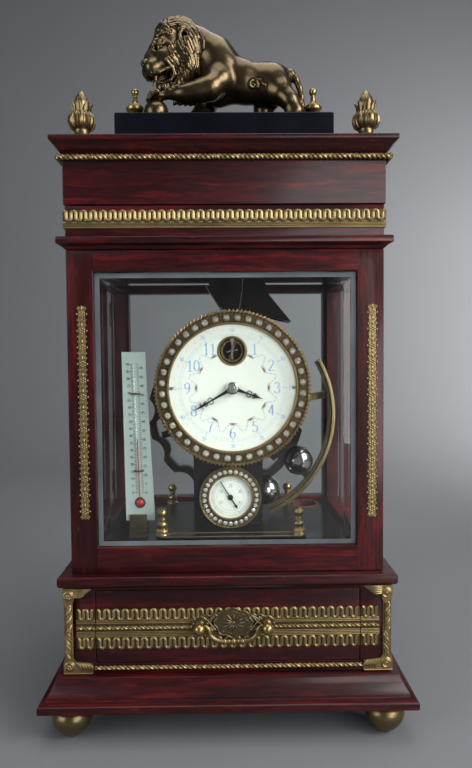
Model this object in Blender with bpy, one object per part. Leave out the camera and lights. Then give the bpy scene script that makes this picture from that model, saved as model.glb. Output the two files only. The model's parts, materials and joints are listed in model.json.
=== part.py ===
"""Ball-driven shelf clock in a glazed mahogany case, with a lion on its lid.

Lengths below are millimetres and the model is built in metres. The origin is the middle of the
floor under the case, the front faces -Y and up is +Z. A depth is a distance behind the front face
of the glazed body. Steel balls drop down a chute into a scalloped wheel, their weight turns the
wheel once in twelve hours, and they leave through the floor into the drawer.
"""

import math

import bmesh
import bpy
from mathutils import Vector

MM = 0.001
GAP = 0.3

# Case, from the floor up: half sizes, heights and how far each moulding projects from the body.
BODY_HALF_X = 139.0
BODY_HALF_Y = 111.65
FOOT_HEIGHT = 31.0
FOOT_INSET = 25.0
PLINTH_PROUD = 26.1
PLINTH_TOP = 57.5
CARCASS_PROUD = 6.0
CARCASS_TOP = 136.0
WAIST_PROUD = 10.7
WAIST_TOP = 145.7
FLOOR_TOP = 163.0
BODY_BOTTOM = 146.0
BODY_TOP = 431.4
RAIL_THICK = 20.0
WINDOW_HALF = 115.6
WINDOW_BOTTOM = 169.0
WINDOW_TOP = 412.4
GLASS_THICK = 4.0
CEILING_BOTTOM = 431.7
CEILING_TOP = 442.5
CEILING_PROUD = 7.0
MOUTH_X = (-31.0, 23.0)
MOUTH_HALF = 16.0
FRIEZE_TOP = 469.7
FRIEZE_WALL = 15.0
BAND_BOTTOM = 450.0
BAND_TOP = 466.0
LID_BOTTOM = 470.3
LID_PROUD = 1.2
LID_ROPE_Z = 510.0
ROPE_RADIUS = 2.8
CORNICE_TOP = 527.3
CORNICE_PROUD = 10.6
LID_HINGE = (0.0, BODY_HALF_Y + LID_PROUD, 470.0)

# Drawer.
DRAWER_HALF = 117.2
DRAWER_BOTTOM = 67.1
DRAWER_TOP = 133.0
DRAWER_BACK = 100.0
DRAWER_BAND = (80.2, 117.1)
PULL_X = 4.5
PULL_Z = 102.3
PULL_HALF_SPAN = 29.5
DRAWER_FRONT = -(BODY_HALF_Y + CARCASS_PROUD)
BAIL_AXIS = (PULL_X, DRAWER_FRONT - 7.5, PULL_Z)
BALL_HOLE = (88.0, 74.4)
BALL_HOLE_RADIUS = 17.5

# Lid furniture.
PINECONE = (124.0, 105.6)
BLOCK_HALF = (107.0, 40.0)
BLOCK_TOP = 576.0
BELL_FINIAL_X = 91.8

# Movement: arbor centres as (x, z), then depths.
WHEEL = Vector((-0.9, 275.8))
DIAL = Vector((5.9, 306.7))
BALANCE = Vector((5.9, 343.4))
BAROMETER = Vector((3.0, 197.8))
BALL_RADIUS = 15.875
BALL_ORBIT = 92.5
BALL_DEPTH = 125.0
POCKETS = 12
LOBE_RADIUS = 83.0
RIBBON = 8.0
BALL_ANGLES = (-33.0, -63.0)
RAIL_INNER = 110.8
RAIL_OUTER = 117.0
PLATE_X = (-34.0, 36.0)
PLATE_TOP = 362.0
FRONT_PLATE = (84.0, 87.0)
BACK_PLATE = (104.0, 107.0)
REAR_COCK = (146.0, 150.0)
PLATFORM_X = (-70.0, 77.0)
PLATFORM_DEPTH = (57.0, 190.0)
PLATFORM_TOP = 166.3
GREAT_MODULE = 1.2
HOUR_MODULE = 0.96
MINUTE_ANGLE = 240.0
HOUR_ANGLE = 110.0
POINTER_ANGLE = 328.0

FINISHES = {
    "mahogany": ((0.085, 0.012, 0.010), 0.28, 0.0),
    "brass": ((0.36, 0.25, 0.09), 0.42, 0.9),
    "dark_brass": ((0.17, 0.12, 0.06), 0.45, 0.9),
    "bronze": ((0.15, 0.10, 0.055), 0.38, 0.9),
    "steel": ((0.55, 0.55, 0.56), 0.12, 1.0),
    "black": ((0.012, 0.014, 0.022), 0.35, 0.0),
    "enamel": ((0.80, 0.84, 0.78), 0.25, 0.0),
    "glass": ((0.62, 0.68, 0.66), 0.05, 0.0),
}


# ---- geometry helpers, all in millimetres ------------------------------------------------------
def depth(distance):
    """World y of a distance behind the front face of the body."""
    return distance - BODY_HALF_Y


def skin(rings, closed=False):
    """Closed surface through rings of points: a loop of rings, or a stack with flat ends."""
    bm = bmesh.new()
    rows = [[bm.verts.new(point) for point in ring] for ring in rings]
    pairs = list(zip(rows, rows[1:]))
    if closed:
        pairs.append((rows[-1], rows[0]))
    else:
        bm.faces.new(rows[0])
        bm.faces.new(rows[-1])
    for low, high in pairs:
        for i in range(len(low)):
            j = (i + 1) % len(low)
            bm.faces.new((low[i], low[j], high[j], high[i]))
    return bm


def on_plane(axis, u, v, w):
    """Point from two in-plane values (x before y before z) and one along the axis."""
    return {"x": (w, u, v), "y": (u, w, v), "z": (u, v, w)}[axis]


def extruded(loops, axis, low, high):
    """Outline with its holes, filled and drawn out along one axis."""
    bm = bmesh.new()
    edges = []
    for loop in loops:
        verts = [bm.verts.new(on_plane(axis, u, v, low)) for u, v in loop]
        for i, vert in enumerate(verts):
            edges.append(bm.edges.new((vert, verts[(i + 1) % len(verts)])))
    bmesh.ops.triangle_fill(bm, edges=edges, use_beauty=True)
    shift = Vector(on_plane(axis, 0.0, 0.0, high - low))
    faces = list(bm.faces)
    far = {vert: bm.verts.new(vert.co + shift) for vert in list(bm.verts)}
    for face in faces:
        bm.faces.new([far[vert] for vert in face.verts])
    for edge in edges:
        a, b = edge.verts
        bm.faces.new((a, b, far[b], far[a]))
    return bm


def turned(profile, steps, centre, axis="z", closed=False):
    """Surface of revolution: profile of (radius, position) about an axis through centre."""
    rings = []
    for radius, position in profile:
        ring = circle(radius, steps, centre)
        rings.append([on_plane(axis, u, v, position) for u, v in ring])
    return skin(rings, closed)


def circle(radius, steps, centre=(0.0, 0.0), start=0.0):
    """Points of a circle, the first at the start angle in degrees."""
    points = []
    for i in range(steps):
        angle = math.radians(start) + 2.0 * math.pi * i / steps
        points.append((centre[0] + radius * math.cos(angle), centre[1] + radius * math.sin(angle)))
    return points


def rectangle(u0, u1, v0, v1):
    return [(u0, v0), (u1, v0), (u1, v1), (u0, v1)]


def mirrored_outline(half):
    """Closed outline from (u, half width) pairs along u."""
    return half + [(u, -v) for u, v in reversed(half) if v > 0.0]


def turned_outline(points, clock_angle, centre):
    """Outline drawn along +u, turned to a clock angle (0 up, 90 to +x) about a centre."""
    angle = math.radians(90.0 - clock_angle)
    cosine, sine = math.cos(angle), math.sin(angle)
    return [
        (centre[0] + u * cosine - v * sine, centre[1] + u * sine + v * cosine) for u, v in points
    ]


def body_ring(z, proud):
    """Rectangle round the body at a height, standing proud of it (or inside it, below zero)."""
    x, y = BODY_HALF_X + proud, BODY_HALF_Y + proud
    return [(-x, -y, z), (x, -y, z), (x, y, z), (-x, y, z)]


def moulding(levels):
    """Solid block whose sides follow (height, proud) levels."""
    return skin([body_ring(z, proud) for z, proud in levels])


def wrapped(profile, rear_y):
    """Strip of (proud, height) section round the left side, front and right side of the body."""
    rings = []
    for side, front in ((-1, False), (-1, True), (1, True), (1, False)):
        ring = []
        for proud, z in profile:
            y = -(BODY_HALF_Y + proud) if front else rear_y
            ring.append((side * (BODY_HALF_X + proud), y, z))
        rings.append(ring)
    return skin(rings)


def tube(path, radius, steps=8):
    """Round bar along a path in a plane of constant y."""
    rings = []
    last = len(path) - 1
    for i, point in enumerate(path):
        along = (Vector(path[min(i + 1, last)]) - Vector(path[max(i - 1, 0)])).normalized()
        side = along.cross(Vector((0.0, 1.0, 0.0)))
        ring = []
        for u, v in circle(radius, steps):
            ring.append(Vector(point) + side * u + Vector((0.0, v, 0.0)))
        rings.append(ring)
    return skin(rings)


def gear(teeth, module, centre, phase, low, high, bore):
    """Spur gear along Y with straight-flanked teeth and plain clearance, one tooth at phase."""
    pitch_radius = teeth * module / 2.0
    pitch = 2.0 * math.pi / teeth
    corners = ((-0.31, -1.25), (-0.12, 0.8), (0.12, 0.8), (0.31, -1.25))
    outline = []
    for tooth in range(teeth):
        for share, height in corners:
            angle = phase + (tooth + share) * pitch
            radius = pitch_radius + height * module
            outline.append(
                (centre[0] + radius * math.cos(angle), centre[1] + radius * math.sin(angle))
            )
    loops = [outline]
    if bore:
        loops.append(circle(bore, 16, centre))
    return extruded(loops, "y", depth(low), depth(high))


def finish_of(name, finish):
    """The object's own Principled material."""
    colour, roughness, metallic = FINISHES[finish]
    material = bpy.data.materials.new(name + "_" + finish)
    material.use_nodes = True
    shader = material.node_tree.nodes["Principled BSDF"]
    shader.inputs["Base Color"].default_value = (*colour, 1.0)
    shader.inputs["Roughness"].default_value = roughness
    shader.inputs["Metallic"].default_value = metallic
    material.diffuse_color = (*colour, 1.0)
    return material


def part(name, bm, finish, origin=(0.0, 0.0, 0.0), smooth=30.0):
    """Named object from a bmesh in world millimetres, its own origin at the given point."""
    bmesh.ops.recalc_face_normals(bm, faces=bm.faces)
    bmesh.ops.translate(bm, vec=-Vector(origin), verts=bm.verts)
    bmesh.ops.scale(bm, vec=(MM, MM, MM), verts=bm.verts)
    mesh = bpy.data.meshes.new(name)
    bm.to_mesh(mesh)
    bm.free()
    mesh.shade_smooth()
    mesh.set_sharp_from_angle(angle=math.radians(smooth))
    mesh.materials.append(finish_of(name, finish))
    obj = bpy.data.objects.new(name, mesh)
    obj.location = Vector(origin) * MM
    bpy.context.collection.objects.link(obj)
    return obj


def combine(obj, operation, bm):
    """Unites a shape with the object, or takes it away."""
    tool = part(f"{obj.name}_tool_{len(obj.modifiers)}", bm, "black")
    tool.hide_render = True
    tool.display_type = "WIRE"
    modifier = obj.modifiers.new(operation.title(), "BOOLEAN")
    modifier.operation = operation
    modifier.solver = "EXACT"
    modifier.object = tool
    return obj


def box_shape(x, y, z):
    return extruded([rectangle(*x, *y)], "z", *z)


# ---- case ----------------------------------------------------------------------------------------
def build_feet():
    x = BODY_HALF_X + PLINTH_PROUD - FOOT_INSET
    y = BODY_HALF_Y + PLINTH_PROUD - FOOT_INSET
    top = FOOT_HEIGHT - GAP
    profile = [(4.0, 0.0), (7.0, 2.5), (13.5, 7.5), (17.5, 13.5), (18.0, 18.0)]
    profile += [(15.5, 23.0), (11.0, 25.5), (10.0, 27.0), (12.0, top)]
    for row, y_side in (("front", -1), ("rear", 1)):
        for column, x_side in (("left", -1), ("right", 1)):
            shape = turned(profile, 16, (x_side * x, y_side * y))
            part(f"foot_{row}_{column}", shape, "brass")


def build_base():
    levels = [(FOOT_HEIGHT, PLINTH_PROUD - 0.8), (32.0, PLINTH_PROUD), (37.3, PLINTH_PROUD)]
    levels += [(38.2, 25.4), (40.2, 19.8), (42.5, 19.6), (45.5, 17.4), (49.5, 14.6)]
    levels += [(54.0, 12.9), (PLINTH_TOP, 12.4)]
    part("base_plinth", moulding(levels), "mahogany")

    carcass = part(
        "drawer_carcass",
        moulding([(PLINTH_TOP + GAP, CARCASS_PROUD), (CARCASS_TOP, CARCASS_PROUD)]),
        "mahogany",
    )
    front = -(BODY_HALF_Y + CARCASS_PROUD)
    cavity = box_shape(
        (-DRAWER_HALF, DRAWER_HALF), (front - 1.0, DRAWER_BACK), (DRAWER_BOTTOM, DRAWER_TOP)
    )
    combine(carcass, "DIFFERENCE", cavity)
    combine(carcass, "DIFFERENCE", ball_hole(DRAWER_TOP - 1.0, CARCASS_TOP + 1.0))

    rope_y = front - GAP - 2.2
    rope = skin(
        [[(x, rope_y + u, 64.4 + v) for u, v in circle(2.2, 8, start=22.5)] for x in (-118.0, 118.0)]
    )
    part("lower_rope", rope, "brass")
    for name, side in (("left", -1), ("right", 1)):
        part(f"corner_mount_{name}", corner_mount(side), "brass")


def ball_hole(low, high):
    return turned([(BALL_HOLE_RADIUS, low), (BALL_HOLE_RADIUS, high)], 24, BALL_HOLE)


def corner_mount(side):
    """Leaf column with a scroll at each end and a leaf running inwards, on a front corner."""
    outer = 146.6
    inward = [(0.0, 58.1), (27.5, 58.1), (27.5, 63.5), (21.0, 66.8), (13.2, 67.5), (10.6, 73.0)]
    inward += [(10.6, 121.0), (13.2, 126.5), (22.0, 129.0), (27.5, 132.0), (27.5, 135.6)]
    inward += [(0.0, 135.6), (0.0, 124.5), (1.8, 120.0), (1.8, 74.0), (0.0, 69.5)]
    front = -(BODY_HALF_Y + CARCASS_PROUD) - GAP
    outline = [(side * (outer - u), v) for u, v in inward]
    return extruded([outline], "y", front - 3.2, front)


def build_waist():
    levels = [(CARCASS_TOP + GAP, 9.2), (138.0, WAIST_PROUD), (144.4, WAIST_PROUD)]
    levels += [(WAIST_TOP, 9.6), (WAIST_TOP, -20.6), (FLOOR_TOP, -20.6)]
    board = part("waist_board", moulding(levels), "mahogany")
    combine(board, "DIFFERENCE", ball_hole(CARCASS_TOP - 1.0, FLOOR_TOP + 1.0))


def framed(half_u, window_u, thick_axis, low, high):
    """Upright frame of the glazed body: four rails round its window."""
    outer = rectangle(-half_u, half_u, BODY_BOTTOM, BODY_TOP)
    window = rectangle(-window_u, window_u, WINDOW_BOTTOM, WINDOW_TOP)
    return extruded([outer, window], thick_axis, low, high)


def pane(half_u, axis, low, high):
    edge = GAP + 0.1
    outline = rectangle(-half_u + edge, half_u - edge, WINDOW_BOTTOM + edge, WINDOW_TOP - edge)
    return extruded([outline], axis, low, high)


def build_glazed_body():
    part(
        "front_frame",
        framed(BODY_HALF_X, WINDOW_HALF, "y", depth(0.0), depth(RAIL_THICK)),
        "mahogany",
    )
    part("front_glass", bevelled_glass(), "glass")
    side_window = BODY_HALF_Y - RAIL_THICK - 6.0
    for name, side in (("left", -1), ("right", 1)):
        outer, inner = side * BODY_HALF_X, side * (BODY_HALF_X - RAIL_THICK)
        half = BODY_HALF_Y - RAIL_THICK - GAP
        part(f"side_frame_{name}", framed(half, side_window, "x", inner, outer), "mahogany")
        glass_outer = outer - side * 2.5
        glass = pane(side_window, "x", glass_outer - side * GLASS_THICK, glass_outer)
        part(f"side_glass_{name}", glass, "glass")
    for name, middle in (("left", -125.8), ("right", 128.6)):
        outline = rectangle(middle - 4.9, middle + 4.9, 194.6, 383.1)
        strip = extruded([outline], "y", depth(-1.9), depth(-GAP))
        part(f"stile_strip_{name}", strip, "brass")


def bevelled_glass():
    """Front pane with a wide polished bevel round its outer face."""
    bevel = 11.0
    rings = []
    for back, inset in ((7.5, 0.0), (4.9, 0.0), (3.5, bevel)):
        edge = GAP + 0.1 + inset
        x = WINDOW_HALF - edge
        low, high = WINDOW_BOTTOM + edge, WINDOW_TOP - edge
        corners = rectangle(-x, x, low, high)
        rings.append([(u, depth(back), v) for u, v in corners])
    return skin(rings)


def build_back_door():
    hinge = (-BODY_HALF_X, BODY_HALF_Y, (BODY_BOTTOM + BODY_TOP) / 2.0)
    low, high = depth(2.0 * BODY_HALF_Y - RAIL_THICK + GAP), BODY_HALF_Y
    frame = framed(BODY_HALF_X, WINDOW_HALF, "y", low, high)
    for vert in frame.verts:
        vert.co.z += GAP if vert.co.z < BODY_BOTTOM + 1.0 else 0.0
    part("back_door_frame", frame, "mahogany", hinge)
    part("back_glass", pane(WINDOW_HALF, "y", high - 8.0, high - 8.0 + GLASS_THICK), "glass", hinge)


def build_top():
    levels = [(CEILING_BOTTOM, 0.0), (432.8, 1.2), (434.6, 2.4), (436.0, 5.6), (436.6, CEILING_PROUD)]
    levels += [(441.6, CEILING_PROUD), (CEILING_TOP, 6.0)]
    ceiling = part("ceiling_board", moulding(levels), "mahogany")
    mouth_depths = (depth(BALL_DEPTH - MOUTH_HALF), depth(BALL_DEPTH + MOUTH_HALF))
    mouth = box_shape(MOUTH_X, mouth_depths, (CEILING_BOTTOM - 1.0, CEILING_TOP + 1.0))
    combine(ceiling, "DIFFERENCE", mouth)

    low = CEILING_TOP + GAP
    section = [(low, 0.0), (FRIEZE_TOP, 0.0), (FRIEZE_TOP, -FRIEZE_WALL), (low, -FRIEZE_WALL)]
    part("frieze_frame", skin([body_ring(z, proud) for z, proud in section], True), "mahogany")
    band = [(GAP, BAND_BOTTOM), (1.8, BAND_BOTTOM), (1.8, BAND_TOP), (GAP, BAND_TOP)]
    part("frieze_band", wrapped(band, BODY_HALF_Y), "brass")
    part("ball_ramp", ball_ramp(), "dark_brass")


def ball_ramp():
    """Sheet trough that leads balls laid in the top down to the mouth in the ceiling."""
    sheet = 1.5
    low, high = (-24.0, CEILING_TOP + 1.0), (118.0, 462.0)
    middle = depth(BALL_DEPTH)
    rings = []
    for x, z in (low, high):
        section = [(-19.0, 14.0), (-19.0, 0.0), (19.0, 0.0), (19.0, 14.0)]
        section += [(19.0 - sheet, 14.0), (19.0 - sheet, sheet), (sheet - 19.0, sheet)]
        section += [(sheet - 19.0, 14.0)]
        rings.append([(x, middle + u, z + v) for u, v in section])
    ramp = skin(rings)
    opening = (Vector(low) + Vector((56.0, 0.0))).x
    for vert in ramp.verts:
        if vert.co.x < 0.0:
            vert.co.x = opening
            vert.co.z += (high[1] - low[1]) * (opening - low[0]) / (high[0] - low[0])
    return ramp


# ---- lid -----------------------------------------------------------------------------------------
def build_lid():
    levels = [(508.0, -14.0), (LID_BOTTOM, -14.0), (LID_BOTTOM, LID_PROUD), (513.2, LID_PROUD)]
    levels += [(514.0, 2.2), (516.5, 3.9), (519.5, 6.0), (522.3, 9.0), (523.4, CORNICE_PROUD)]
    levels += [(CORNICE_TOP, CORNICE_PROUD)]
    part("lid_box", moulding(levels), "mahogany", LID_HINGE)
    centre = LID_PROUD + GAP + ROPE_RADIUS
    rope = [(centre + u, LID_ROPE_Z + v) for u, v in circle(ROPE_RADIUS, 8, start=22.5)]
    part("lid_rope", wrapped(rope, BODY_HALF_Y), "brass", LID_HINGE)
    low = CORNICE_TOP + GAP
    block_levels = [(low, 1.5), (low + 2.0, 1.5), (low + 3.0, 0.0)]
    block_levels += [(BLOCK_TOP - 1.0, 0.0), (BLOCK_TOP, -1.0)]
    rings = []
    for z, proud in block_levels:
        x, y = BLOCK_HALF[0] + proud, BLOCK_HALF[1] + proud
        rings.append([(-x, -y, z), (x, -y, z), (x, y, z), (-x, y, z)])
    part("plinth_block", skin(rings), "black", LID_HINGE)
    build_finials(low)
    build_lion()


def build_finials(deck):
    cone = [(9.6, 0.0), (10.2, 2.0), (7.0, 4.0), (5.2, 7.0), (6.0, 10.0), (10.4, 13.0)]
    cone += [(11.3, 17.5), (11.2, 22.0), (9.6, 28.5), (6.6, 34.5), (3.2, 39.5), (0.9, 42.4)]
    profile = [(radius, deck + height) for radius, height in cone]
    for row, y_side in (("front", -1), ("rear", 1)):
        for column, x_side in (("left", -1), ("right", 1)):
            shape = turned(profile, 14, (x_side * PINECONE[0], y_side * PINECONE[1]))
            part(f"pinecone_{row}_{column}", shape, "brass", LID_HINGE)
    bell = [(8.0, 0.3), (8.4, 3.0), (5.0, 6.0), (4.6, 11.0), (7.4, 14.6), (9.4, 18.0), (8.8, 20.4)]
    bell += [(4.2, 22.4), (2.9, 24.4), (2.3, 29.6), (3.6, 31.6), (3.8, 34.4), (2.2, 37.2), (0.8, 38.2)]
    profile = [(radius, BLOCK_TOP + height) for radius, height in bell]
    for name, side in (("left", -1), ("right", 1)):
        shape = turned(profile, 12, (side * BELL_FINIAL_X, 0.0))
        part(f"bell_finial_{name}", shape, "brass", LID_HINGE)


def build_lion():
    """Lion walking left with one forepaw on a ball, as overlapping rounds made into one skin."""
    base = BLOCK_TOP + GAP
    limbs = [
        [(-16, 0, 634, 27), (6, 0, 628, 23), (28, 0, 622, 18), (46, 0, 620, 17), (60, 0, 617, 17)],
        [(-14, 0, 651, 19), (-34, -2, 656, 28), (-46, -4, 661.5, 26)],
        [(-28, -2, 634, 25), (-36, -4, 622, 17)],
        [(-56, -6, 652, 17), (-66, -8, 642, 12), (-74, -9, 636, 9.5)],
        [(-62, -7, 664, 9), (-56, -6, 667, 12)],
        [(-44, -6, 622, 9), (-56, -8, 617, 7), (-62, -9, 616, 5.5)],
        [(-12, -16, 622, 15), (-24, -20, 612, 11), (-44, -20, 609, 8.5), (-62, -18, 606, 7.5)],
        [(-62, -18, 606, 8), (-71, -17, 604, 6.5)],
        [(-68, -16, 588.4, 12)],
        [(-14, 15, 618, 14), (-20, 18, 602, 10), (-34, 20, 588, 8), (-46, 20, 583, 6.5)],
        [(54, -12, 614, 15), (62, -15, 602, 10), (70, -16, 594, 7.5), (68, -16, 583, 6.5)],
        [(68, -16, 583, 6.5), (56, -17, 582, 6)],
        [(48, 12, 610, 14), (40, 14, 598, 10), (44, 15, 590, 7.5), (38, 15, 583, 6.5)],
        [(38, 15, 583, 6.5), (26, 16, 582, 6)],
        [(64, 0, 628, 7), (75, -2, 628, 4.5), (79, -5, 614, 4.2), (77, -9, 600, 4)],
        [(77, -9, 600, 4), (70, -12, 592, 4.5)],
        [(-50, -16, 668, 7), (-34, 14, 672, 8), (-34, -14, 670, 10)],
    ]
    bm = bmesh.new()
    for limb in limbs:
        add_limb(bm, limb)
    for vert in bm.verts:
        vert.co.z = max(vert.co.z, base)
    lion = part("lion", bm, "bronze", LID_HINGE)
    remesh = lion.modifiers.new("Skin", "REMESH")
    remesh.mode = "VOXEL"
    remesh.voxel_size = 2.2 * MM
    decimate = lion.modifiers.new("Facets", "DECIMATE")
    decimate.ratio = 0.055


def add_limb(bm, knots):
    """Rounds of (x, y, z, radius) with more laid evenly between them."""
    for first, second in zip(knots, knots[1:] or knots):
        span = (Vector(second[:3]) - Vector(first[:3])).length
        count = max(1, round(span / (0.35 * min(first[3], second[3]))))
        for i in range(count + 1):
            x, y, z, radius = Vector(first).lerp(Vector(second), i / count)
            ball = bmesh.ops.create_icosphere(bm, subdivisions=2, radius=radius)
            bmesh.ops.translate(bm, vec=(x, y, z), verts=ball["verts"])


# ---- drawer --------------------------------------------------------------------------------------
def build_drawer():
    half = DRAWER_HALF - 0.5
    heights = (DRAWER_BOTTOM + 0.4, DRAWER_TOP - 0.4)
    outer = box_shape((-half, half), (DRAWER_FRONT, DRAWER_BACK - 3.0), heights)
    drawer = part("drawer_box", outer, "mahogany")
    hollow = box_shape(
        (-half + 8.0, half - 8.0),
        (DRAWER_FRONT + 18.0, DRAWER_BACK - 10.0),
        (DRAWER_BOTTOM + 7.0, DRAWER_TOP + 2.0),
    )
    combine(drawer, "DIFFERENCE", hollow)
    band_front = DRAWER_FRONT - GAP
    band = box_shape((-half, half), (band_front - 1.5, band_front), DRAWER_BAND)
    part("drawer_band", band, "brass")
    build_pull(band_front - 1.5 - GAP)


def build_pull(face):
    """Pierced backplate with two knobbed posts, and the bail that swings between them."""
    half = [(-37.0, 0.0), (-35.5, 4.6), (-30.0, 8.0), (-24.0, 6.4), (-17.0, 6.6), (-14.0, 9.6)]
    half += [(-9.5, 12.4), (-4.0, 14.0), (0.0, 13.2), (4.0, 14.0), (9.5, 12.4), (14.0, 9.6)]
    half += [(17.0, 6.6), (24.0, 6.4), (30.0, 8.0), (35.5, 4.6), (37.0, 0.0)]
    outline = [(PULL_X + u, PULL_Z + 1.5 + v) for u, v in mirrored_outline(half)]
    loops = [outline]
    for u, v in ((-19.0, 3.2), (-19.0, -3.2), (19.0, 3.2), (19.0, -3.2)):
        loops.append(circle(2.1, 6, (PULL_X + u, PULL_Z + 1.5 + v)))
    plate = part("handle_plate", extruded(loops, "y", face - 1.7, face), "brass")
    profile = [(4.0, 1.0), (2.6, -2.4), (2.6, -8.0), (4.4, -9.2), (5.6, -11.6)]
    profile += [(4.8, -14.2), (1.8, -15.2)]
    for side in (-1, 1):
        post = [(radius, face - 1.2 + y) for radius, y in profile]
        combine(plate, "UNION", turned(post, 12, (PULL_X + side * PULL_HALF_SPAN, PULL_Z), "y"))
    half_path = [(3.2 - PULL_HALF_SPAN, 0.0), (-24.2, -0.1), (-21.6, -2.8), (-20.4, -7.4)]
    half_path += [(-16.4, -11.2), (-11.0, -13.0), (-6.0, -13.4)]
    path = half_path + [(-u, v) for u, v in reversed(half_path)]
    bail = tube([(BAIL_AXIS[0] + u, BAIL_AXIS[1], BAIL_AXIS[2] + v) for u, v in path], 2.1)
    part("bail_handle", bail, "brass", BAIL_AXIS)


# ---- movement ------------------------------------------------------------------------------------
def second_arbor():
    """Centre of the intermediate arbor, set by both gear centre distances."""
    first = GREAT_MODULE * (40 + 10) / 2.0
    second = GREAT_MODULE * (24 + 8) / 2.0
    line = DIAL - WHEEL
    along = (first**2 - second**2 + line.length_squared) / (2.0 * line.length)
    across = math.sqrt(first**2 - along**2)
    unit = line.normalized()
    return WHEEL + unit * along + Vector((-unit.y, unit.x)) * across


SECOND = second_arbor()


def angle_between(a, b):
    return math.atan2(b.y - a.y, b.x - a.x)


def cylinder(centre, radius, low, high, steps=12):
    """Round bar along Y between two depths."""
    return turned([(radius, depth(low)), (radius, depth(high))], steps, centre, "y")


def build_platform():
    x0, x1 = PLATFORM_X
    y0, y1 = (depth(value) for value in PLATFORM_DEPTH)
    cut = 5.0
    outline = [(x0 + cut, y0), (x1 - cut, y0), (x1, y0 + cut), (x1, y1 - cut), (x1 - cut, y1)]
    outline += [(x0 + cut, y1), (x0, y1 - cut), (x0, y0 + cut)]
    platform = part("platform", extruded([outline], "z", FLOOR_TOP + GAP, PLATFORM_TOP), "brass")
    profile = [(6.2, -0.6), (6.4, 2.6), (3.4, 4.6), (2.8, 8.2), (3.6, 9.6), (5.9, 13.6), (6.3, 16.2)]
    profile += [(4.6, 20.2), (1.2, 23.4)]
    for x in (-64.0, 70.0):
        for distance in (63.5, 183.5):
            turned_profile = [(radius, PLATFORM_TOP + z) for radius, z in profile]
            combine(platform, "UNION", turned(turned_profile, 12, (x, depth(distance))))


def build_plates():
    """Front and back plates, the four pillars between them and the rear cock."""
    x0, x1 = PLATE_X
    low = PLATFORM_TOP + GAP
    outline = [(x0, low), (x1, low), (x1, PLATE_TOP - 14.0), (x1 - 14.0, PLATE_TOP)]
    outline += [(x0 + 14.0, PLATE_TOP), (x0, PLATE_TOP - 14.0)]
    holes = [circle(1.9, 12, DIAL), circle(1.9, 12, SECOND), circle(2.9, 12, WHEEL)]
    front_holes = holes + [circle(1.2, 8, BALANCE), circle(1.2, 8, BAROMETER)]
    front = extruded([outline] + front_holes, "y", *(depth(value) for value in FRONT_PLATE))
    part("front_plate", front, "dark_brass")
    back = extruded([outline] + holes, "y", *(depth(value) for value in BACK_PLATE))
    back_plate = part("back_plate", back, "dark_brass")
    near, far = FRONT_PLATE[1] + GAP, BACK_PLATE[0] + 0.5
    profile = [(3.4, near), (4.6, near + 1.5), (3.2, near + 4.0), (3.2, far - 4.0), (4.6, far)]
    for x in (x0 + 7.0, x1 - 7.0):
        for z in (182.0, 344.0):
            pillar = turned([(radius, depth(y)) for radius, y in profile], 10, (x, z), "y")
            combine(back_plate, "UNION", pillar)
    cock = [(-24.0, low), (24.0, low), (19.0, 190.0), (15.0, 282.0), (8.0, 292.0)]
    cock += [(-8.0, 292.0), (-15.0, 282.0), (-19.0, 190.0)]
    loops = [[(WHEEL.x + u, v) for u, v in cock], circle(2.1, 12, WHEEL)]
    part("rear_cock", extruded(loops, "y", *(depth(value) for value in REAR_COCK)), "dark_brass")


def build_guard_rail():
    """Grooved arc that keeps the balls in their pockets, on two arms from the rear cock."""
    start, end, count = 30.0, -66.0, 22
    section = [(RAIL_INNER, 118.0), (RAIL_OUTER, 118.0), (RAIL_OUTER, 132.0), (RAIL_INNER, 132.0)]
    rings = []
    for i in range(count + 1):
        angle = math.radians(start + (end - start) * i / count)
        ring = []
        for radius, distance in section:
            x = WHEEL.x + radius * math.cos(angle)
            ring.append((x, depth(distance), WHEEL.y + radius * math.sin(angle)))
        rings.append(ring)
    rail = part("guard_rail", skin(rings), "brass")
    for angle in (10.0, -38.0):
        bar = turned_outline(rectangle(9.0, 116.0, -4.0, 4.0), 90.0 - angle, WHEEL)
        combine(rail, "UNION", extruded([bar], "y", depth(142.2), depth(REAR_COCK[0] - GAP)))
        lug = turned_outline(rectangle(RAIL_INNER + 0.6, 116.0, -4.0, 4.0), 90.0 - angle, WHEEL)
        combine(rail, "UNION", extruded([lug], "y", depth(128.0), depth(144.0)))


def build_feed_chute():
    """Sheet-metal chute from the ceiling to the top of the ball wheel, open at both ends."""
    sheet = 1.4
    outer = [(-32.6, BODY_TOP), (24.6, BODY_TOP), (43.7, 403.3), (68.0, 373.5), (53.0, 377.0)]
    outer += [(24.0, 387.0), (-6.5, 389.0), (-15.8, 403.7)]
    chute = part("feed_chute", extruded([outer], "y", depth(107.2), depth(142.8)), "dark_brass")
    inner = [(-30.9, BODY_TOP + 3.0), (22.9, BODY_TOP + 3.0), (41.8, 402.6), (66.6, 370.0)]
    inner += [(20.0, 377.0), (0.0, 381.0), (-4.2, 388.6), (-14.0, 403.9)]
    hollow = extruded([inner], "y", depth(107.2 + sheet), depth(142.8 - sheet))
    combine(chute, "DIFFERENCE", hollow)


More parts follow.
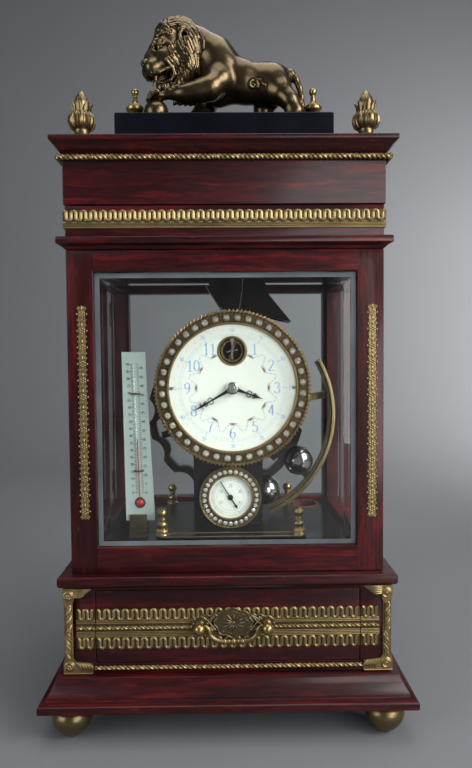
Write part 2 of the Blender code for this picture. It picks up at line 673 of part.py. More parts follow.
def build_dials():
    profile = [(62.7, 66.5), (64.5, 65.0), (75.5, 65.0), (77.5, 67.5), (77.5, 73.4), (69.5, 74.4)]
    profile += [(69.5, 83.7), (66.5, 83.7), (66.5, 70.4), (62.7, 70.4)]
    section = [(radius, depth(y)) for radius, y in profile]
    part("main_bezel", turned(section, 56, DIAL, "y", True), "brass")
    loops = [circle(66.1, 56, DIAL), circle(13.8, 24, BALANCE), circle(4.0, 12, DIAL)]
    part("main_dial", extruded(loops, "y", depth(70.8), depth(72.8)), "enamel")
    profile = [(21.2, 68.0), (23.0, 66.5), (29.6, 66.5), (30.9, 68.2), (30.9, 72.0), (28.6, 73.0)]
    profile += [(28.6, 83.7), (25.4, 83.7), (25.4, 71.0), (21.2, 71.0)]
    section = [(radius, depth(y)) for radius, y in profile]
    part("barometer_case", turned(section, 36, BAROMETER, "y", True), "brass")
    loops = [circle(25.0, 36, BAROMETER), circle(1.4, 8, BAROMETER)]
    part("barometer_dial", extruded(loops, "y", depth(71.4), depth(73.0)), "enamel")


def build_thermometer():
    bottom, top = (-87.0, 174.8), (-92.0, 343.0)
    outline = [(bottom[0] - 14.2, bottom[1]), (bottom[0] + 14.2, bottom[1])]
    outline += [(top[0] + 11.5, top[1]), (top[0] - 11.5, top[1])]
    part("thermometer_plate", extruded([outline], "y", depth(73.0), depth(77.0)), "enamel")
    foot = [(depth(66.0), FLOOR_TOP + GAP), (depth(90.0), FLOOR_TOP + GAP), (depth(90.0), 165.6)]
    foot += [(depth(80.0), 165.6), (depth(80.0), 186.0), (depth(77.3), 186.0), (depth(77.3), 173.6)]
    foot += [(depth(72.6), 173.6), (depth(72.6), 181.0), (depth(70.6), 181.0), (depth(70.6), 167.0)]
    foot += [(depth(66.0), 166.0)]
    part("thermometer_bracket", extruded([foot], "x", -97.5, -80.5), "brass")


def wheel_radius(angle, inner):
    """Outer edge of the ball wheel: round pockets cut into the lobe circle, or the inner edge."""
    step = 2.0 * math.pi / POCKETS
    offset = (angle - math.radians(BALL_ANGLES[0]) + step / 2.0) % step - step / 2.0
    reach = (BALL_RADIUS + 0.5) ** 2 - (BALL_ORBIT * math.sin(offset)) ** 2
    radius = LOBE_RADIUS
    if reach > 0.0:
        radius = min(LOBE_RADIUS, BALL_ORBIT * math.cos(offset) - math.sqrt(reach))
    return radius - RIBBON if inner else radius


def build_ball_wheel():
    origin = (WHEEL.x, depth(BALL_DEPTH), WHEEL.y)
    loops = []
    samples = POCKETS * 10
    for inner in (False, True):
        loop = []
        for i in range(samples):
            angle = math.radians(BALL_ANGLES[0]) + 2.0 * math.pi * i / samples
            radius = wheel_radius(angle, inner)
            loop.append((WHEEL.x + radius * math.cos(angle), WHEEL.y + radius * math.sin(angle)))
        loops.append(loop)
    wheel = part("ball_wheel", extruded(loops, "y", depth(120.0), depth(130.0)), "bronze", origin)
    combine(wheel, "UNION", cylinder(WHEEL, 10.0, 117.0, 133.0, 20))
    for i in range(3):
        bar = turned_outline(rectangle(-72.0, 72.0, -3.5, 3.5), 60.0 * i + 12.0, WHEEL)
        combine(wheel, "UNION", extruded([bar], "y", depth(122.0), depth(128.0)))
    combine(wheel, "UNION", cylinder(WHEEL, 2.4, 88.5, 145.4))
    combine(wheel, "UNION", cylinder(WHEEL, 1.6, 144.5, 149.0))
    phase = angle_between(WHEEL, SECOND)
    combine(wheel, "UNION", gear(40, GREAT_MODULE, WHEEL, phase, 99.5, 101.5, 0.0))
    for number, degrees in enumerate(BALL_ANGLES, 1):
        angle = math.radians(degrees)
        x = WHEEL.x + BALL_ORBIT * math.cos(angle)
        z = WHEEL.y + BALL_ORBIT * math.sin(angle)
        ball = bmesh.new()
        bmesh.ops.create_icosphere(ball, subdivisions=3, radius=BALL_RADIUS)
        bmesh.ops.translate(ball, vec=(x, depth(BALL_DEPTH), z), verts=ball.verts)
        part(f"steel_ball_{number}", ball, "steel", origin)


def build_train():
    """Intermediate arbor, centre arbor and hour pipe, geared twelve to one from the wheel."""
    to_wheel = angle_between(SECOND, WHEEL)
    to_dial = angle_between(SECOND, DIAL)
    origin = (SECOND.x, depth(95.0), SECOND.y)
    first = part("intermediate_arbor", cylinder(SECOND, 1.4, 79.6, 106.0), "brass", origin)
    pinion = gear(10, GREAT_MODULE, SECOND, to_wheel + math.pi / 10, 98.5, 102.5, 0.0)
    combine(first, "UNION", pinion)
    combine(first, "UNION", gear(24, GREAT_MODULE, SECOND, to_dial, 94.0, 96.0, 0.0))
    combine(first, "UNION", gear(8, HOUR_MODULE, SECOND, to_dial, 80.0, 82.6, 0.0))
    origin = (DIAL.x, depth(95.0), DIAL.y)
    centre = part("centre_arbor", cylinder(DIAL, 1.5, 63.4, 106.0), "steel", origin)
    from_second = to_dial + math.pi
    pinion = gear(8, GREAT_MODULE, DIAL, from_second + math.pi / 8, 93.0, 97.0, 0.0)
    combine(centre, "UNION", pinion)
    pipe_profile = [(2.1, 66.9), (3.3, 66.9), (3.3, 81.0), (2.1, 81.0)]
    section = [(radius, depth(y)) for radius, y in pipe_profile]
    hour_pipe = part("hour_pipe", turned(section, 16, DIAL, "y", True), "brass", origin)
    hour_gear = gear(32, HOUR_MODULE, DIAL, from_second + math.pi / 32, 80.2, 82.4, 2.3)
    combine(hour_pipe, "UNION", hour_gear)


def hand_outline(length, loop_at, loop_half, eye):
    """Open-loop clock hand along +u, from its round eye to its point."""
    start = math.degrees(math.asin(1.1 / eye))
    half = [(-eye, 0.0)]
    for degrees in (150.0, 120.0, 90.0, 60.0, start + 8.0):
        angle = math.radians(degrees)
        half.append((eye * math.cos(angle), eye * math.sin(angle)))
    half += [(loop_at - 6.0, 1.0), (loop_at - 3.0, loop_half), (loop_at, loop_half)]
    half += [(loop_at + 3.4, 1.0), (length - 8.0, 1.7), (length - 4.0, 1.0), (length, 0.0)]
    loop = [(loop_at - 4.2, 0.0), (loop_at - 2.6, loop_half - 1.1), (loop_at - 0.4, loop_half - 1.1)]
    loop += [(loop_at + 1.6, 0.0)]
    return mirrored_outline(half), mirrored_outline(loop)


def build_hands():
    origin = (DIAL.x, depth(95.0), DIAL.y)
    hands = (
        ("minute_hand", 44.0, 30.0, MINUTE_ANGLE, 64.8, 1.8),
        ("hour_hand", 32.0, 21.0, HOUR_ANGLE, 67.8, 3.6),
    )
    for name, length, loop_at, clock_angle, distance, bore in hands:
        outline, loop = hand_outline(length, loop_at, 2.6, 5.2)
        loops = [turned_outline(points, clock_angle, DIAL) for points in (outline, loop)]
        loops.append(circle(bore, 12, DIAL))
        part(name, extruded(loops, "y", depth(distance), depth(distance + 1.1)), "black", origin)


def build_balance():
    origin = (BALANCE.x, depth(78.0), BALANCE.y)
    loops = [circle(11.4, 28, BALANCE), circle(9.4, 28, BALANCE)]
    rim = extruded(loops, "y", depth(77.0), depth(79.0))
    balance = part("balance_wheel", rim, "dark_brass", origin)
    arm = turned_outline(rectangle(-10.2, 10.2, -1.0, 1.0), 20.0, BALANCE)
    combine(balance, "UNION", extruded([arm], "y", depth(77.4), depth(78.6)))
    combine(balance, "UNION", cylinder(BALANCE, 0.8, 74.2, 85.5, 8))


def build_pointer():
    origin = (BAROMETER.x, depth(70.0), BAROMETER.y)
    half = [(-13.6, 0.0), (-10.0, 1.7), (-9.4, 0.6), (-2.9, 0.6), (-2.0, 2.1), (0.0, 2.9)]
    half += [(2.0, 2.1), (2.9, 0.5), (18.4, 0.35), (18.8, 0.0)]
    outline = turned_outline(mirrored_outline(half), POINTER_ANGLE, BAROMETER)
    blade = extruded([outline], "y", depth(69.2), depth(70.0))
    pointer = part("barometer_pointer", blade, "black", origin)
    combine(pointer, "UNION", cylinder(BAROMETER, 0.9, 68.6, 85.5, 8))


def main():
    for obj in list(bpy.data.objects):
        bpy.data.objects.remove(obj, do_unlink=True)
    build_feet()
    build_base()
    build_waist()
    build_glazed_body()
    build_back_door()
    build_top()
    build_lid()
    build_drawer()
    build_platform()
    build_plates()
    build_guard_rail()
    build_feed_chute()
    build_dials()
    build_thermometer()
    build_ball_wheel()
    build_train()
    build_hands()
    build_balance()
    build_pointer()


main()
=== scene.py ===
"""Looks of the ball-driven shelf clock: materials, ornament, dials, lion, light and camera.

Lengths are millimetres in world space unless a name says otherwise. Every place comes from the
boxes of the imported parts.
"""

import json
import math
import random

import bmesh
import bpy
import numpy as np
from mathutils import Matrix, Vector


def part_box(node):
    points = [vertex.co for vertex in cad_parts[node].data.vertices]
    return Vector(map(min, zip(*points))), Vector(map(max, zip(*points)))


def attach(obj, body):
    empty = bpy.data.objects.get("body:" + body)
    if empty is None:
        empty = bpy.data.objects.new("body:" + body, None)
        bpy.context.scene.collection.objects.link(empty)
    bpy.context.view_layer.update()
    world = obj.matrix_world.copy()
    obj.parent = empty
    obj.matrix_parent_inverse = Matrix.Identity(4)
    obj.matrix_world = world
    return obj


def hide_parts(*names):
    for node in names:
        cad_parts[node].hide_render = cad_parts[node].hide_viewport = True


MM = 0.001
FRONT = (0.0, -1.0, 0.0)
CAMERA_PLACE = Vector((0.00106, -0.6745, 0.340))
CAMERA_TURN = (-0.0132, 0.0464, 0.0076)
CAMERA_LENS = 30.0
FRIEZE_PITCH = 8.5
DRAWER_PITCH = 8.34
ROPE_PITCH = 8.4
STRIP_PERIOD = 14.0
PULL_POST_Z = 102.3
PULL_HALF_SPAN = 29.5
DIAL_CENTRE = (5.9, 306.7)
BALANCE_CENTRE = (5.9, 343.4)
BAROMETER_CENTRE = (3.0, 197.8)
WHEEL_CENTRE = (-0.9, 275.8)
MINUTE_ANGLE = 240.0
HOUR_ANGLE = 110.0
STONE_COUNT = 40
THERMOMETER_FOOT = -87.0
THERMOMETER_HEAD = -92.0
STRAP_HEIGHTS = (49.9, 127.0)
PLATFORM_TOP = 166.3
BALL_HOLE = (88.0, 74.4)
BALL_HOLE_RADIUS = 17.5
FLOOR_HALF = (118.6, 91.0)
HEAD_TURN = 22.0
HEAD_PIVOT = (-44.0, -5.0)
LION_STEP = 0.7
GLASS_BEVEL = 4.6
LID_AXIS = (112.85, 470.0)
LID_HINGE_X = 92.0
DOOR_HINGE_HEIGHTS = (190.0, 388.0)
CORNERS = ("front_left", "front_right", "rear_left", "rear_right")
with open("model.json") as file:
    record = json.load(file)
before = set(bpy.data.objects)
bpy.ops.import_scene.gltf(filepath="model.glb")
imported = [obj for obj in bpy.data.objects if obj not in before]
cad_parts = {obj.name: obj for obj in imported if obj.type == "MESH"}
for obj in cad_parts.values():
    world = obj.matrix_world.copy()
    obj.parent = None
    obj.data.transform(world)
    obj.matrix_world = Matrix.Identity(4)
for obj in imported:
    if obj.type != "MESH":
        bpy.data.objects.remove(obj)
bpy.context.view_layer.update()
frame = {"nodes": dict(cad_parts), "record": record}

BODY_OF = {
    node: body
    for body, nodes in frame["record"]["behaviour"]["bodies"].items()
    for node in nodes
}


# ---- geometry helpers --------------------------------------------------------------------------
def box_of(node):
    """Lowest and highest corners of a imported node, in millimetres."""
    low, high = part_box(node)
    return Vector(low) / MM, Vector(high) / MM


def middle_of(node):
    low, high = box_of(node)
    return (low + high) / 2.0


def shifted(profile, across, along):
    """Profile of number pairs moved by a distance in each of its directions."""
    return [(across + u, along + v) for u, v in profile]


def angles(count, offset=0.0):
    """Evenly spaced angles round a circle, in radians."""
    return [2.0 * math.pi * (k + offset) / count for k in range(count)]


def add_rings(bm, rings, closed=False):
    """Bridges rings of points, capped at both ends unless they close on themselves."""
    rows = [[bm.verts.new(point) for point in ring] for ring in rings]
    pairs = list(zip(rows, rows[1:]))
    if closed:
        pairs.append((rows[-1], rows[0]))
    else:
        bm.faces.new(rows[0][::-1])
        bm.faces.new(rows[-1])
    for low, high in pairs:
        for i in range(len(low)):
            j = (i + 1) % len(low)
            bm.faces.new((low[i], low[j], high[j], high[i]))


def add_tube(bm, path, radius, steps=6, normal=None, flat=1.0, closed=False):
    """Tube along a path; radius is a number or one per point, flat squashes it along normal."""
    points = [Vector(point) for point in path]
    last = len(points) - 1
    rings = []
    side = None
    for i, point in enumerate(points):
        if closed:
            ahead, behind = points[(i + 1) % len(points)], points[i - 1]
        else:
            ahead, behind = points[min(i + 1, last)], points[max(i - 1, 0)]
        along = (ahead - behind).normalized()
        if normal is not None:
            up = Vector(normal)
        elif side is not None:
            up = side.cross(along)
        else:
            up = Vector((0.0, 0.0, 1.0)) if abs(along.z) < 0.9 else Vector((0.0, 1.0, 0.0))
        side = along.cross(up).normalized()
        up = side.cross(along).normalized()
        size = radius[i] if isinstance(radius, (list, tuple)) else radius
        rings.append([
            point + side * size * math.cos(angle) + up * size * flat * math.sin(angle)
            for angle in angles(steps, 0.5)
        ])
    add_rings(bm, rings, closed)


def add_lathe(bm, profile, steps, centre, axis="z", closed=False):
    """Surface of revolution from (radius, position) about an axis through centre."""
    rings = []
    for radius, position in profile:
        ring = []
        for angle in angles(steps):
            u, v = radius * math.cos(angle), radius * math.sin(angle)
            if axis == "z":
                ring.append((centre[0] + u, centre[1] + v, position))
            else:
                ring.append((centre[0] + u, position, centre[1] + v))
        rings.append(ring)
    add_rings(bm, rings, closed)


def add_ball(bm, centre, radius, squash=(1.0, 1.0, 1.0), detail=2):
    ball = bmesh.ops.create_icosphere(bm, subdivisions=detail, radius=radius)
    place = Matrix.Translation(Vector(centre)) @ Matrix.Diagonal((*squash, 1.0))
    bmesh.ops.transform(bm, matrix=place, verts=ball["verts"])


def add_box(bm, low, high):
    """Rectangular block between two corners."""
    x0, y0, z0 = low
    x1, y1, z1 = high
    rings = []
    for z in (z0, z1):
        rings.append([(x0, y0, z), (x1, y0, z), (x1, y1, z), (x0, y1, z)])
    add_rings(bm, rings)


def add_plate(bm, outline, near, far, bevel=0.0):
    """Flat outline in x and z drawn out along y, its near edge bevelled inwards."""
    centre = Vector((sum(p[0] for p in outline), sum(p[1] for p in outline))) / len(outline)
    rings = []
    for y, inset in ((near, bevel), (near + bevel, 0.0), (far, 0.0)):
        ring = []
        for x, z in outline:
            out = Vector((x, z)) - centre
            point = centre + out * max(0.0, 1.0 - inset / max(out.length, 1e-6))
            ring.append((point.x, y, point.y))
        rings.append(ring)
    if bevel == 0.0:
        rings.pop(0)
    add_rings(bm, rings)


def spiral(centre, radius, turns, start, steps=26, hand=1.0, shrink=0.12):
    """Points (u, v) of a scroll that winds in to its centre."""
    points = []
    for i in range(steps + 1):
        share = i / steps
        angle = start + hand * 2.0 * math.pi * turns * share
        size = radius * (1.0 - (1.0 - shrink) * share)
        points.append((centre[0] + size * math.cos(angle), centre[1] + size * math.sin(angle)))
    return points


def piece(name, bm, material, body="case", slot="brass", replaces=(), smooth=40.0):
    """Finished mesh object from millimetres, riding on its body."""
    bmesh.ops.recalc_face_normals(bm, faces=bm.faces)
    bmesh.ops.scale(bm, vec=(MM, MM, MM), verts=bm.verts)
    mesh = bpy.data.meshes.new(name)
    bm.to_mesh(mesh)
    bm.free()
    mesh.shade_smooth()
    if smooth < 180.0:
        mesh.set_sharp_from_angle(angle=math.radians(smooth))
    mesh.materials.append(material)
    obj = bpy.data.objects.new(name, mesh)
    bpy.context.scene.collection.objects.link(obj)
    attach(obj, body)
    if replaces:
        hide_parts(*replaces)
    return obj


def turned_piece(name, profile, steps, centre, material, axis="z", closed=False, **more):
    """Finished mesh object that is one surface of revolution."""
    bm = bmesh.new()
    add_lathe(bm, profile, steps, centre, axis, closed)
    piece(name, bm, material, **more)


def softened(node, material, slot, width):
    """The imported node's own shape with its hard edges eased, standing for it."""
    bm = bmesh.new()
    bm.from_mesh(frame["nodes"][node].data)
    bmesh.ops.scale(bm, vec=(1.0 / MM,) * 3, verts=bm.verts)
    bmesh.ops.remove_doubles(bm, verts=bm.verts, dist=0.005)
    bmesh.ops.dissolve_limit(bm, angle_limit=math.radians(1.0), verts=bm.verts, edges=bm.edges)
    obj = piece(node + "_skin", bm, material, BODY_OF[node], slot, (node,), 180.0)
    bevel = obj.modifiers.new("Eased edges", "BEVEL")
    bevel.width = width * MM
    bevel.segments = 3
    bevel.limit_method = "ANGLE"
    bevel.angle_limit = math.radians(28.0)
    bevel.harden_normals = True
    return obj


# ---- materials -----------------------------------------------------------------------------------
class Shader:
    """A node material with short ways to add and link nodes."""

    def __init__(self, name):
        self.material = bpy.data.materials.new(name)
        self.material.use_nodes = True
        self.tree = self.material.node_tree
        self.surface = self.tree.nodes["Principled BSDF"]
        self.coordinates = self.add("ShaderNodeTexCoord").outputs["Object"]

    def add(self, kind, **values):
        node = self.tree.nodes.new(kind)
        for key, value in values.items():
            if hasattr(node, key):
                setattr(node, key, value)
            else:
                node.inputs[key.replace("_", " ")].default_value = value
        return node

    def link(self, out, into):
        self.tree.links.new(out, into)

    def scaled(self, scale):
        """Place on the piece at rest, stretched on each axis."""
        mapping = self.add("ShaderNodeMapping")
        mapping.inputs["Scale"].default_value = scale
        self.link(self.coordinates, mapping.inputs["Vector"])
        return mapping.outputs["Vector"]

    def math(self, operation, first, second):
        node = self.add("ShaderNodeMath", operation=operation)
        self.link(first, node.inputs[0])
        node.inputs[1].default_value = second
        return node.outputs["Value"]

    def beyond(self, vector, axis, limit):
        """1 where the size of one part of a vector is over the limit, else 0."""
        parts = self.add("ShaderNodeSeparateXYZ")
        self.link(vector, parts.inputs["Vector"])
        size = self.math("ABSOLUTE", parts.outputs[axis], 0.0)
        return self.math("GREATER_THAN", size, limit)

    def noise(self, where, scale, detail=4.0, roughness=0.55, distortion=0.0):
        node = self.add("ShaderNodeTexNoise")
        self.link(where, node.inputs["Vector"])
        for key, value in (("Scale", scale), ("Detail", detail), ("Roughness", roughness)):
            node.inputs[key].default_value = value
        node.inputs["Distortion"].default_value = distortion
        return node.outputs["Fac"]

    def ramp(self, value, *stops):
        """Colours, or greys given as one number, at positions along a value."""
        node = self.add("ShaderNodeValToRGB")
        elements = node.color_ramp.elements
        while len(elements) < len(stops):
            elements.new(0.5)
        for element, (position, colour) in zip(elements, stops):
            element.position = position
            element.color = (*(colour if isinstance(colour, tuple) else (colour,) * 3), 1.0)
        self.link(value, node.inputs["Fac"])
        return node.outputs["Color"]

    def mix(self, factor, first, second, blend="MIX"):
        node = self.add("ShaderNodeMix", data_type="RGBA", blend_type=blend)
        for value, socket in ((factor, 0), (first, 6), (second, 7)):
            if isinstance(value, bpy.types.NodeSocket):
                self.link(value, node.inputs[socket])
            elif socket == 0:
                node.inputs[socket].default_value = value
            else:
                node.inputs[socket].default_value = (*value, 1.0)
        return node.outputs[2]

    def span(self, value, low, high):
        """Maps 0..1 onto low..high."""
        node = self.add("ShaderNodeMapRange")
        node.inputs["To Min"].default_value = low
        node.inputs["To Max"].default_value = high
        self.link(value, node.inputs["Value"])
        return node.outputs["Result"]

    def bump(self, height, strength, distance_mm):
        node = self.add("ShaderNodeBump")
        node.inputs["Strength"].default_value = strength
        node.inputs["Distance"].default_value = distance_mm * MM
        self.link(height, node.inputs["Height"])
        self.link(node.outputs["Normal"], self.surface.inputs["Normal"])

    def set(self, **values):
        for key, value in values.items():
            socket = self.surface.inputs[key.replace("_", " ")]
            if isinstance(value, bpy.types.NodeSocket):
                self.link(value, socket)
            elif isinstance(value, tuple):
                socket.default_value = (*value, 1.0)
            else:
                socket.default_value = value
        return self.material


GRAIN = {"x": (0.10, 1.0, 1.0), "y": (1.0, 0.10, 1.0), "z": (1.0, 1.0, 0.10)}


def mahogany(name, along, other, split):
    """Red-brown lacquered wood with darker clouds and a few pale scratches.

    The grain runs along one axis, and along the other where split says so: ("place", axis, limit)
    for the stiles of a frame, ("facing", axis, limit) for the sides of a box.
    """
    shader = Shader(name)
    kind, axis, limit = split
    if kind == "place":
        mask = shader.beyond(shader.coordinates, axis, limit)
    else:
        mask = shader.beyond(shader.add("ShaderNodeNewGeometry").outputs["Normal"], axis, limit)
    where = shader.mix(mask, shader.scaled(GRAIN[along]), shader.scaled(GRAIN[other]))
    streaks = shader.noise(where, 210.0, 6.0, 0.66, 0.8)
    pores = shader.noise(where, 1500.0, 2.0)
    patches = shader.noise(where, 34.0, 4.0, 0.55, 0.4)
    dark, mid, red = (0.0120, 0.0028, 0.0036), (0.036, 0.0046, 0.0056), (0.122, 0.0080, 0.0074)
    grain = shader.ramp(streaks, (0.30, dark), (0.48, mid), (0.70, red))
    cloud = shader.ramp(patches, (0.34, 0.10), (0.62, 1.0))
    body = shader.mix(cloud, dark, grain)
    specks = shader.ramp(pores, (0.30, 0.45), (0.42, 1.0))
    body = shader.mix(0.6, body, shader.mix(1.0, body, specks, "MULTIPLY"))
    scratch = shader.ramp(shader.noise(where, 620.0, 1.0), (0.790, 0.0), (0.815, 0.55))
    body = shader.mix(scratch, body, (0.16, 0.075, 0.055))
    rough = shader.span(shader.noise(shader.coordinates, 38.0, 4.0, 0.6), 0.24, 0.46)
    shader.bump(streaks, 0.10, 0.25)
    return shader.set(
        Base_Color=body,
        Roughness=rough,
        Specular_IOR_Level=0.16,
        Coat_Weight=0.22,
        Coat_Roughness=0.16,
        IOR=1.5,
    )


def cast_metal(name, bright, dark, rough=(0.28, 0.52), low=0.44, high=0.56, grain=300.0):
    """Cast metal darkened in its hollows, partly patina and partly painted shade, and rubbed bright
    where it stands out.
    """
    shader = Shader(name)
    point = shader.add("ShaderNodeNewGeometry").outputs["Pointiness"]
    # Hollows take the dark colour: partly patina, partly painted shade where little light reaches.
    raised = shader.ramp(point, (low, 0.0), (high, 1.0))
    cloud = shader.noise(shader.coordinates, 45.0, 4.0, 0.6)
    tone = shader.mix(shader.ramp(cloud, (0.3, 0.0), (0.7, 1.0)), dark, bright)
    colour = shader.mix(raised, dark, shader.mix(0.62, tone, bright))
    fine = shader.noise(shader.coordinates, grain, 3.0, 0.6)
    shader.bump(fine, 0.18, 0.12)
    return shader.set(
        Base_Color=colour,
        Metallic=0.92,
        Roughness=shader.span(cloud, rough[0], rough[1]),
    )


def plain(name, colour, rough, metallic=0.0, vary=0.12, scale=80.0, **more):
    """Smooth finish with a faint cloudiness in its colour and gloss."""
    shader = Shader(name)
    cloud = shader.noise(shader.coordinates, scale, 4.0, 0.6)
    low = tuple(value * (1.0 - vary) for value in colour)
    high = tuple(min(1.0, value * (1.0 + vary)) for value in colour)
    shader.set(
        Base_Color=shader.ramp(cloud, (0.3, low), (0.7, high)),
        Roughness=shader.span(cloud, rough * 0.8, rough * 1.2),
        Metallic=metallic,
        **more,
    )
    return shader.material


def clear_glass():
    """Clear pane that lets lamps light what is behind it."""
    shader = Shader("clear_glass")
    smear = shader.noise(shader.coordinates, 24.0, 3.0)
    shader.set(
        Base_Color=(0.96, 0.985, 0.975),
        Roughness=shader.span(smear, 0.0, 0.03),
        Transmission_Weight=1.0,
        IOR=1.48,
    )
    tree = shader.tree
    open_to_lamps = shader.add("ShaderNodeBsdfTransparent")
    open_to_lamps.inputs["Color"].default_value = (0.95, 0.97, 0.96, 1.0)
    mixed = shader.add("ShaderNodeMixShader")
    ray = shader.add("ShaderNodeLightPath")
    tree.links.new(ray.outputs["Is Shadow Ray"], mixed.inputs["Fac"])
    tree.links.new(shader.surface.outputs["BSDF"], mixed.inputs[1])
    tree.links.new(open_to_lamps.outputs["BSDF"], mixed.inputs[2])
    tree.links.new(mixed.outputs["Shader"], tree.nodes["Material Output"].inputs["Surface"])
    return shader.material


WOOD_ROUND = mahogany("mahogany_round", "x", "y", ("facing", "X", 0.6))
WOOD_FRONT = mahogany("mahogany_front", "x", "z", ("place", "X", 0.1156))
WOOD_SIDE = mahogany("mahogany_side", "y", "z", ("place", "Y", 0.0855))
CAST_BRASS = cast_metal("cast_brass", (0.300, 0.215, 0.090), (0.050, 0.036, 0.018), (0.30, 0.50))
BAND_BRASS = cast_metal(
    "band_brass", (0.300, 0.220, 0.100), (0.085, 0.062, 0.030), (0.36, 0.54), 0.42, 0.54
)
BAND_GROUND = plain("band_ground", (0.075, 0.054, 0.024), 0.5, 0.8, 0.35, 160.0)
AGED_BRASS = cast_metal(
    "aged_brass", (0.200, 0.145, 0.070), (0.085, 0.060, 0.030), (0.26, 0.42), 0.40, 0.52
)
PALE_BRASS = cast_metal(
    "turned_brass", (0.36, 0.25, 0.095), (0.12, 0.080, 0.035), (0.20, 0.36), 0.40, 0.52
)
BEZEL_BRASS = cast_metal(
    "bezel_brass", (0.320, 0.218, 0.100), (0.088, 0.056, 0.024), (0.28, 0.46), 0.42, 0.53
)
RAIL_BRASS = cast_metal(
    "rail_brass", (0.330, 0.255, 0.125), (0.130, 0.096, 0.046), (0.28, 0.46), 0.40, 0.55
)
DARK_BRASS = cast_metal(
    "dark_brass", (0.150, 0.115, 0.062), (0.036, 0.028, 0.018), (0.32, 0.52), 0.42, 0.55
)
# On the lion the narrow pointiness band darkens the mouth and folds: patina together with painted shade.
BRONZE = cast_metal(
    "lion_bronze", (0.205, 0.145, 0.072), (0.012, 0.009, 0.007), (0.20, 0.34), 0.475, 0.535, 120.0
)
WHEEL_BRONZE = plain("wheel_bronze", (0.034, 0.026, 0.019), 0.36, 0.8, 0.4)
PLATE_BRONZE = plain("plate_bronze", (0.016, 0.012, 0.009), 0.42, 0.7, 0.4)
CHUTE_BRONZE = plain(
    "chute_bronze", (0.015, 0.011, 0.008), 0.34, 0.6, 0.6, 25.0, Specular_IOR_Level=0.2
)
STEEL = plain("ball_steel", (0.50, 0.50, 0.49), 0.16, 1.0, 0.10, 60.0)
NICKEL = plain("nickel", (0.50, 0.49, 0.46), 0.24, 1.0, 0.15)
BLACK_STEEL = plain("black_steel", (0.008, 0.008, 0.009), 0.35, 0.3, 0.3)
BLACK_LACQUER = plain(
    "black_lacquer", (0.0028, 0.0032, 0.0060), 0.42, 0.0, 0.25, 30.0, Specular_IOR_Level=0.06
)
FLOOR_BLACK = plain(
    "floor_black", (0.005, 0.005, 0.005), 0.20, 0.0, 0.3, 26.0, Specular_IOR_Level=0.12
)
ENAMEL = plain("dial_enamel", (0.74, 0.77, 0.69), 0.20, 0.0, 0.02, 30.0, Coat_Weight=0.5)
WHITE_PLATE = plain("thermometer_white", (0.27, 0.32, 0.30), 0.34, 0.0, 0.04, 40.0)
DIAL_BLUE = plain("dial_blue", (0.29, 0.43, 0.66), 0.4, 0.0, 0.2, 300.0)
DIAL_PALE = plain("dial_pale_blue", (0.40, 0.50, 0.64), 0.4, 0.0, 0.2, 300.0)
DIAL_GOLD = plain("dial_gold", (0.22, 0.17, 0.12), 0.45, 0.2, 0.4, 300.0)
SCALE_BLUE = plain("scale_blue", (0.15, 0.21, 0.26), 0.4, 0.0, 0.2, 300.0)
INK = plain("scale_ink", (0.035, 0.038, 0.042), 0.5, 0.0, 0.2)
RED = plain("thermometer_red", (0.30, 0.008, 0.006), 0.30, 0.0, 0.3)
RED_FELT = plain("red_rim", (0.060, 0.004, 0.006), 0.6, 0.0, 0.2)
GEM = plain("rhinestone", (0.80, 0.77, 0.66), 0.08, 0.60, 0.42, 330.0, Coat_Weight=1.0)
# Opaque grey for the pane's bevelled edge: painted sheen standing for light reflected by the clear
# bevelled glass.
BEVEL_SHEEN_GREY = plain("glass_bevel", (0.110, 0.125, 0.132), 0.12, 0.0, 0.5, 9.0)
GLASS = clear_glass()

CARRIED = (
    (GLASS, ("front_glass", "side_glass_left", "side_glass_right", "back_glass")),
    (PLATE_BRONZE, ("back_plate", "front_plate", "rear_cock")),
    (WHEEL_BRONZE, ("ball_wheel",)),
    (PALE_BRASS, ("intermediate_arbor", "centre_arbor", "hour_pipe", "balance_wheel")),
    (BLACK_STEEL, ("barometer_pointer",)),
    (CHUTE_BRONZE, ("ball_ramp", "feed_chute")),
    (DARK_BRASS, ("thermometer_bracket",)),
    (WHITE_PLATE, ("thermometer_plate",)),
    (ENAMEL, ("main_dial", "barometer_dial")),
)


# ---- case ----------------------------------------------------------------------------------------
def build_wood():
    """Boards and frames with eased edges."""
    for node, material, width in (
        ("base_plinth", WOOD_ROUND, 0.9),
        ("drawer_carcass", WOOD_ROUND, 0.6),
        ("waist_board", WOOD_ROUND, 0.8),
        ("front_frame", WOOD_FRONT, 0.7),
        ("side_frame_left", WOOD_SIDE, 0.6),
        ("side_frame_right", WOOD_SIDE, 0.6),
        ("back_door_frame", WOOD_FRONT, 0.7),
        ("ceiling_board", WOOD_ROUND, 0.8),
        ("frieze_frame", WOOD_ROUND, 0.5),
        ("lid_box", WOOD_ROUND, 0.7),
        ("drawer_box", WOOD_ROUND, 0.7),
    ):
        softened(node, material, "mahogany", width)
    softened("plinth_block", BLACK_LACQUER, "black_lacquer", 0.8)


def build_carried():
    """Nodes whose own shape is kept, with their finish."""
    for material, nodes in CARRIED:
        for node in nodes:
            slots = frame["nodes"][node].data.materials
            slots.clear()
            slots.append(material)


# ---- cast ornament -------------------------------------------------------------------------------
def add_wrapped(bm, profile, half_x, front_y, rear_y):
    """Strip of a (proud, z) section round the front and both sides of the case."""
    rings = []
    for x_side, y in ((-1, rear_y), (-1, front_y), (1, front_y), (1, rear_y)):
        ring = []
        for proud, z in profile:
            ring.append((x_side * (half_x + proud), y - (proud if y == front_y else 0.0), z))
        rings.append(ring)
    add_rings(bm, rings)


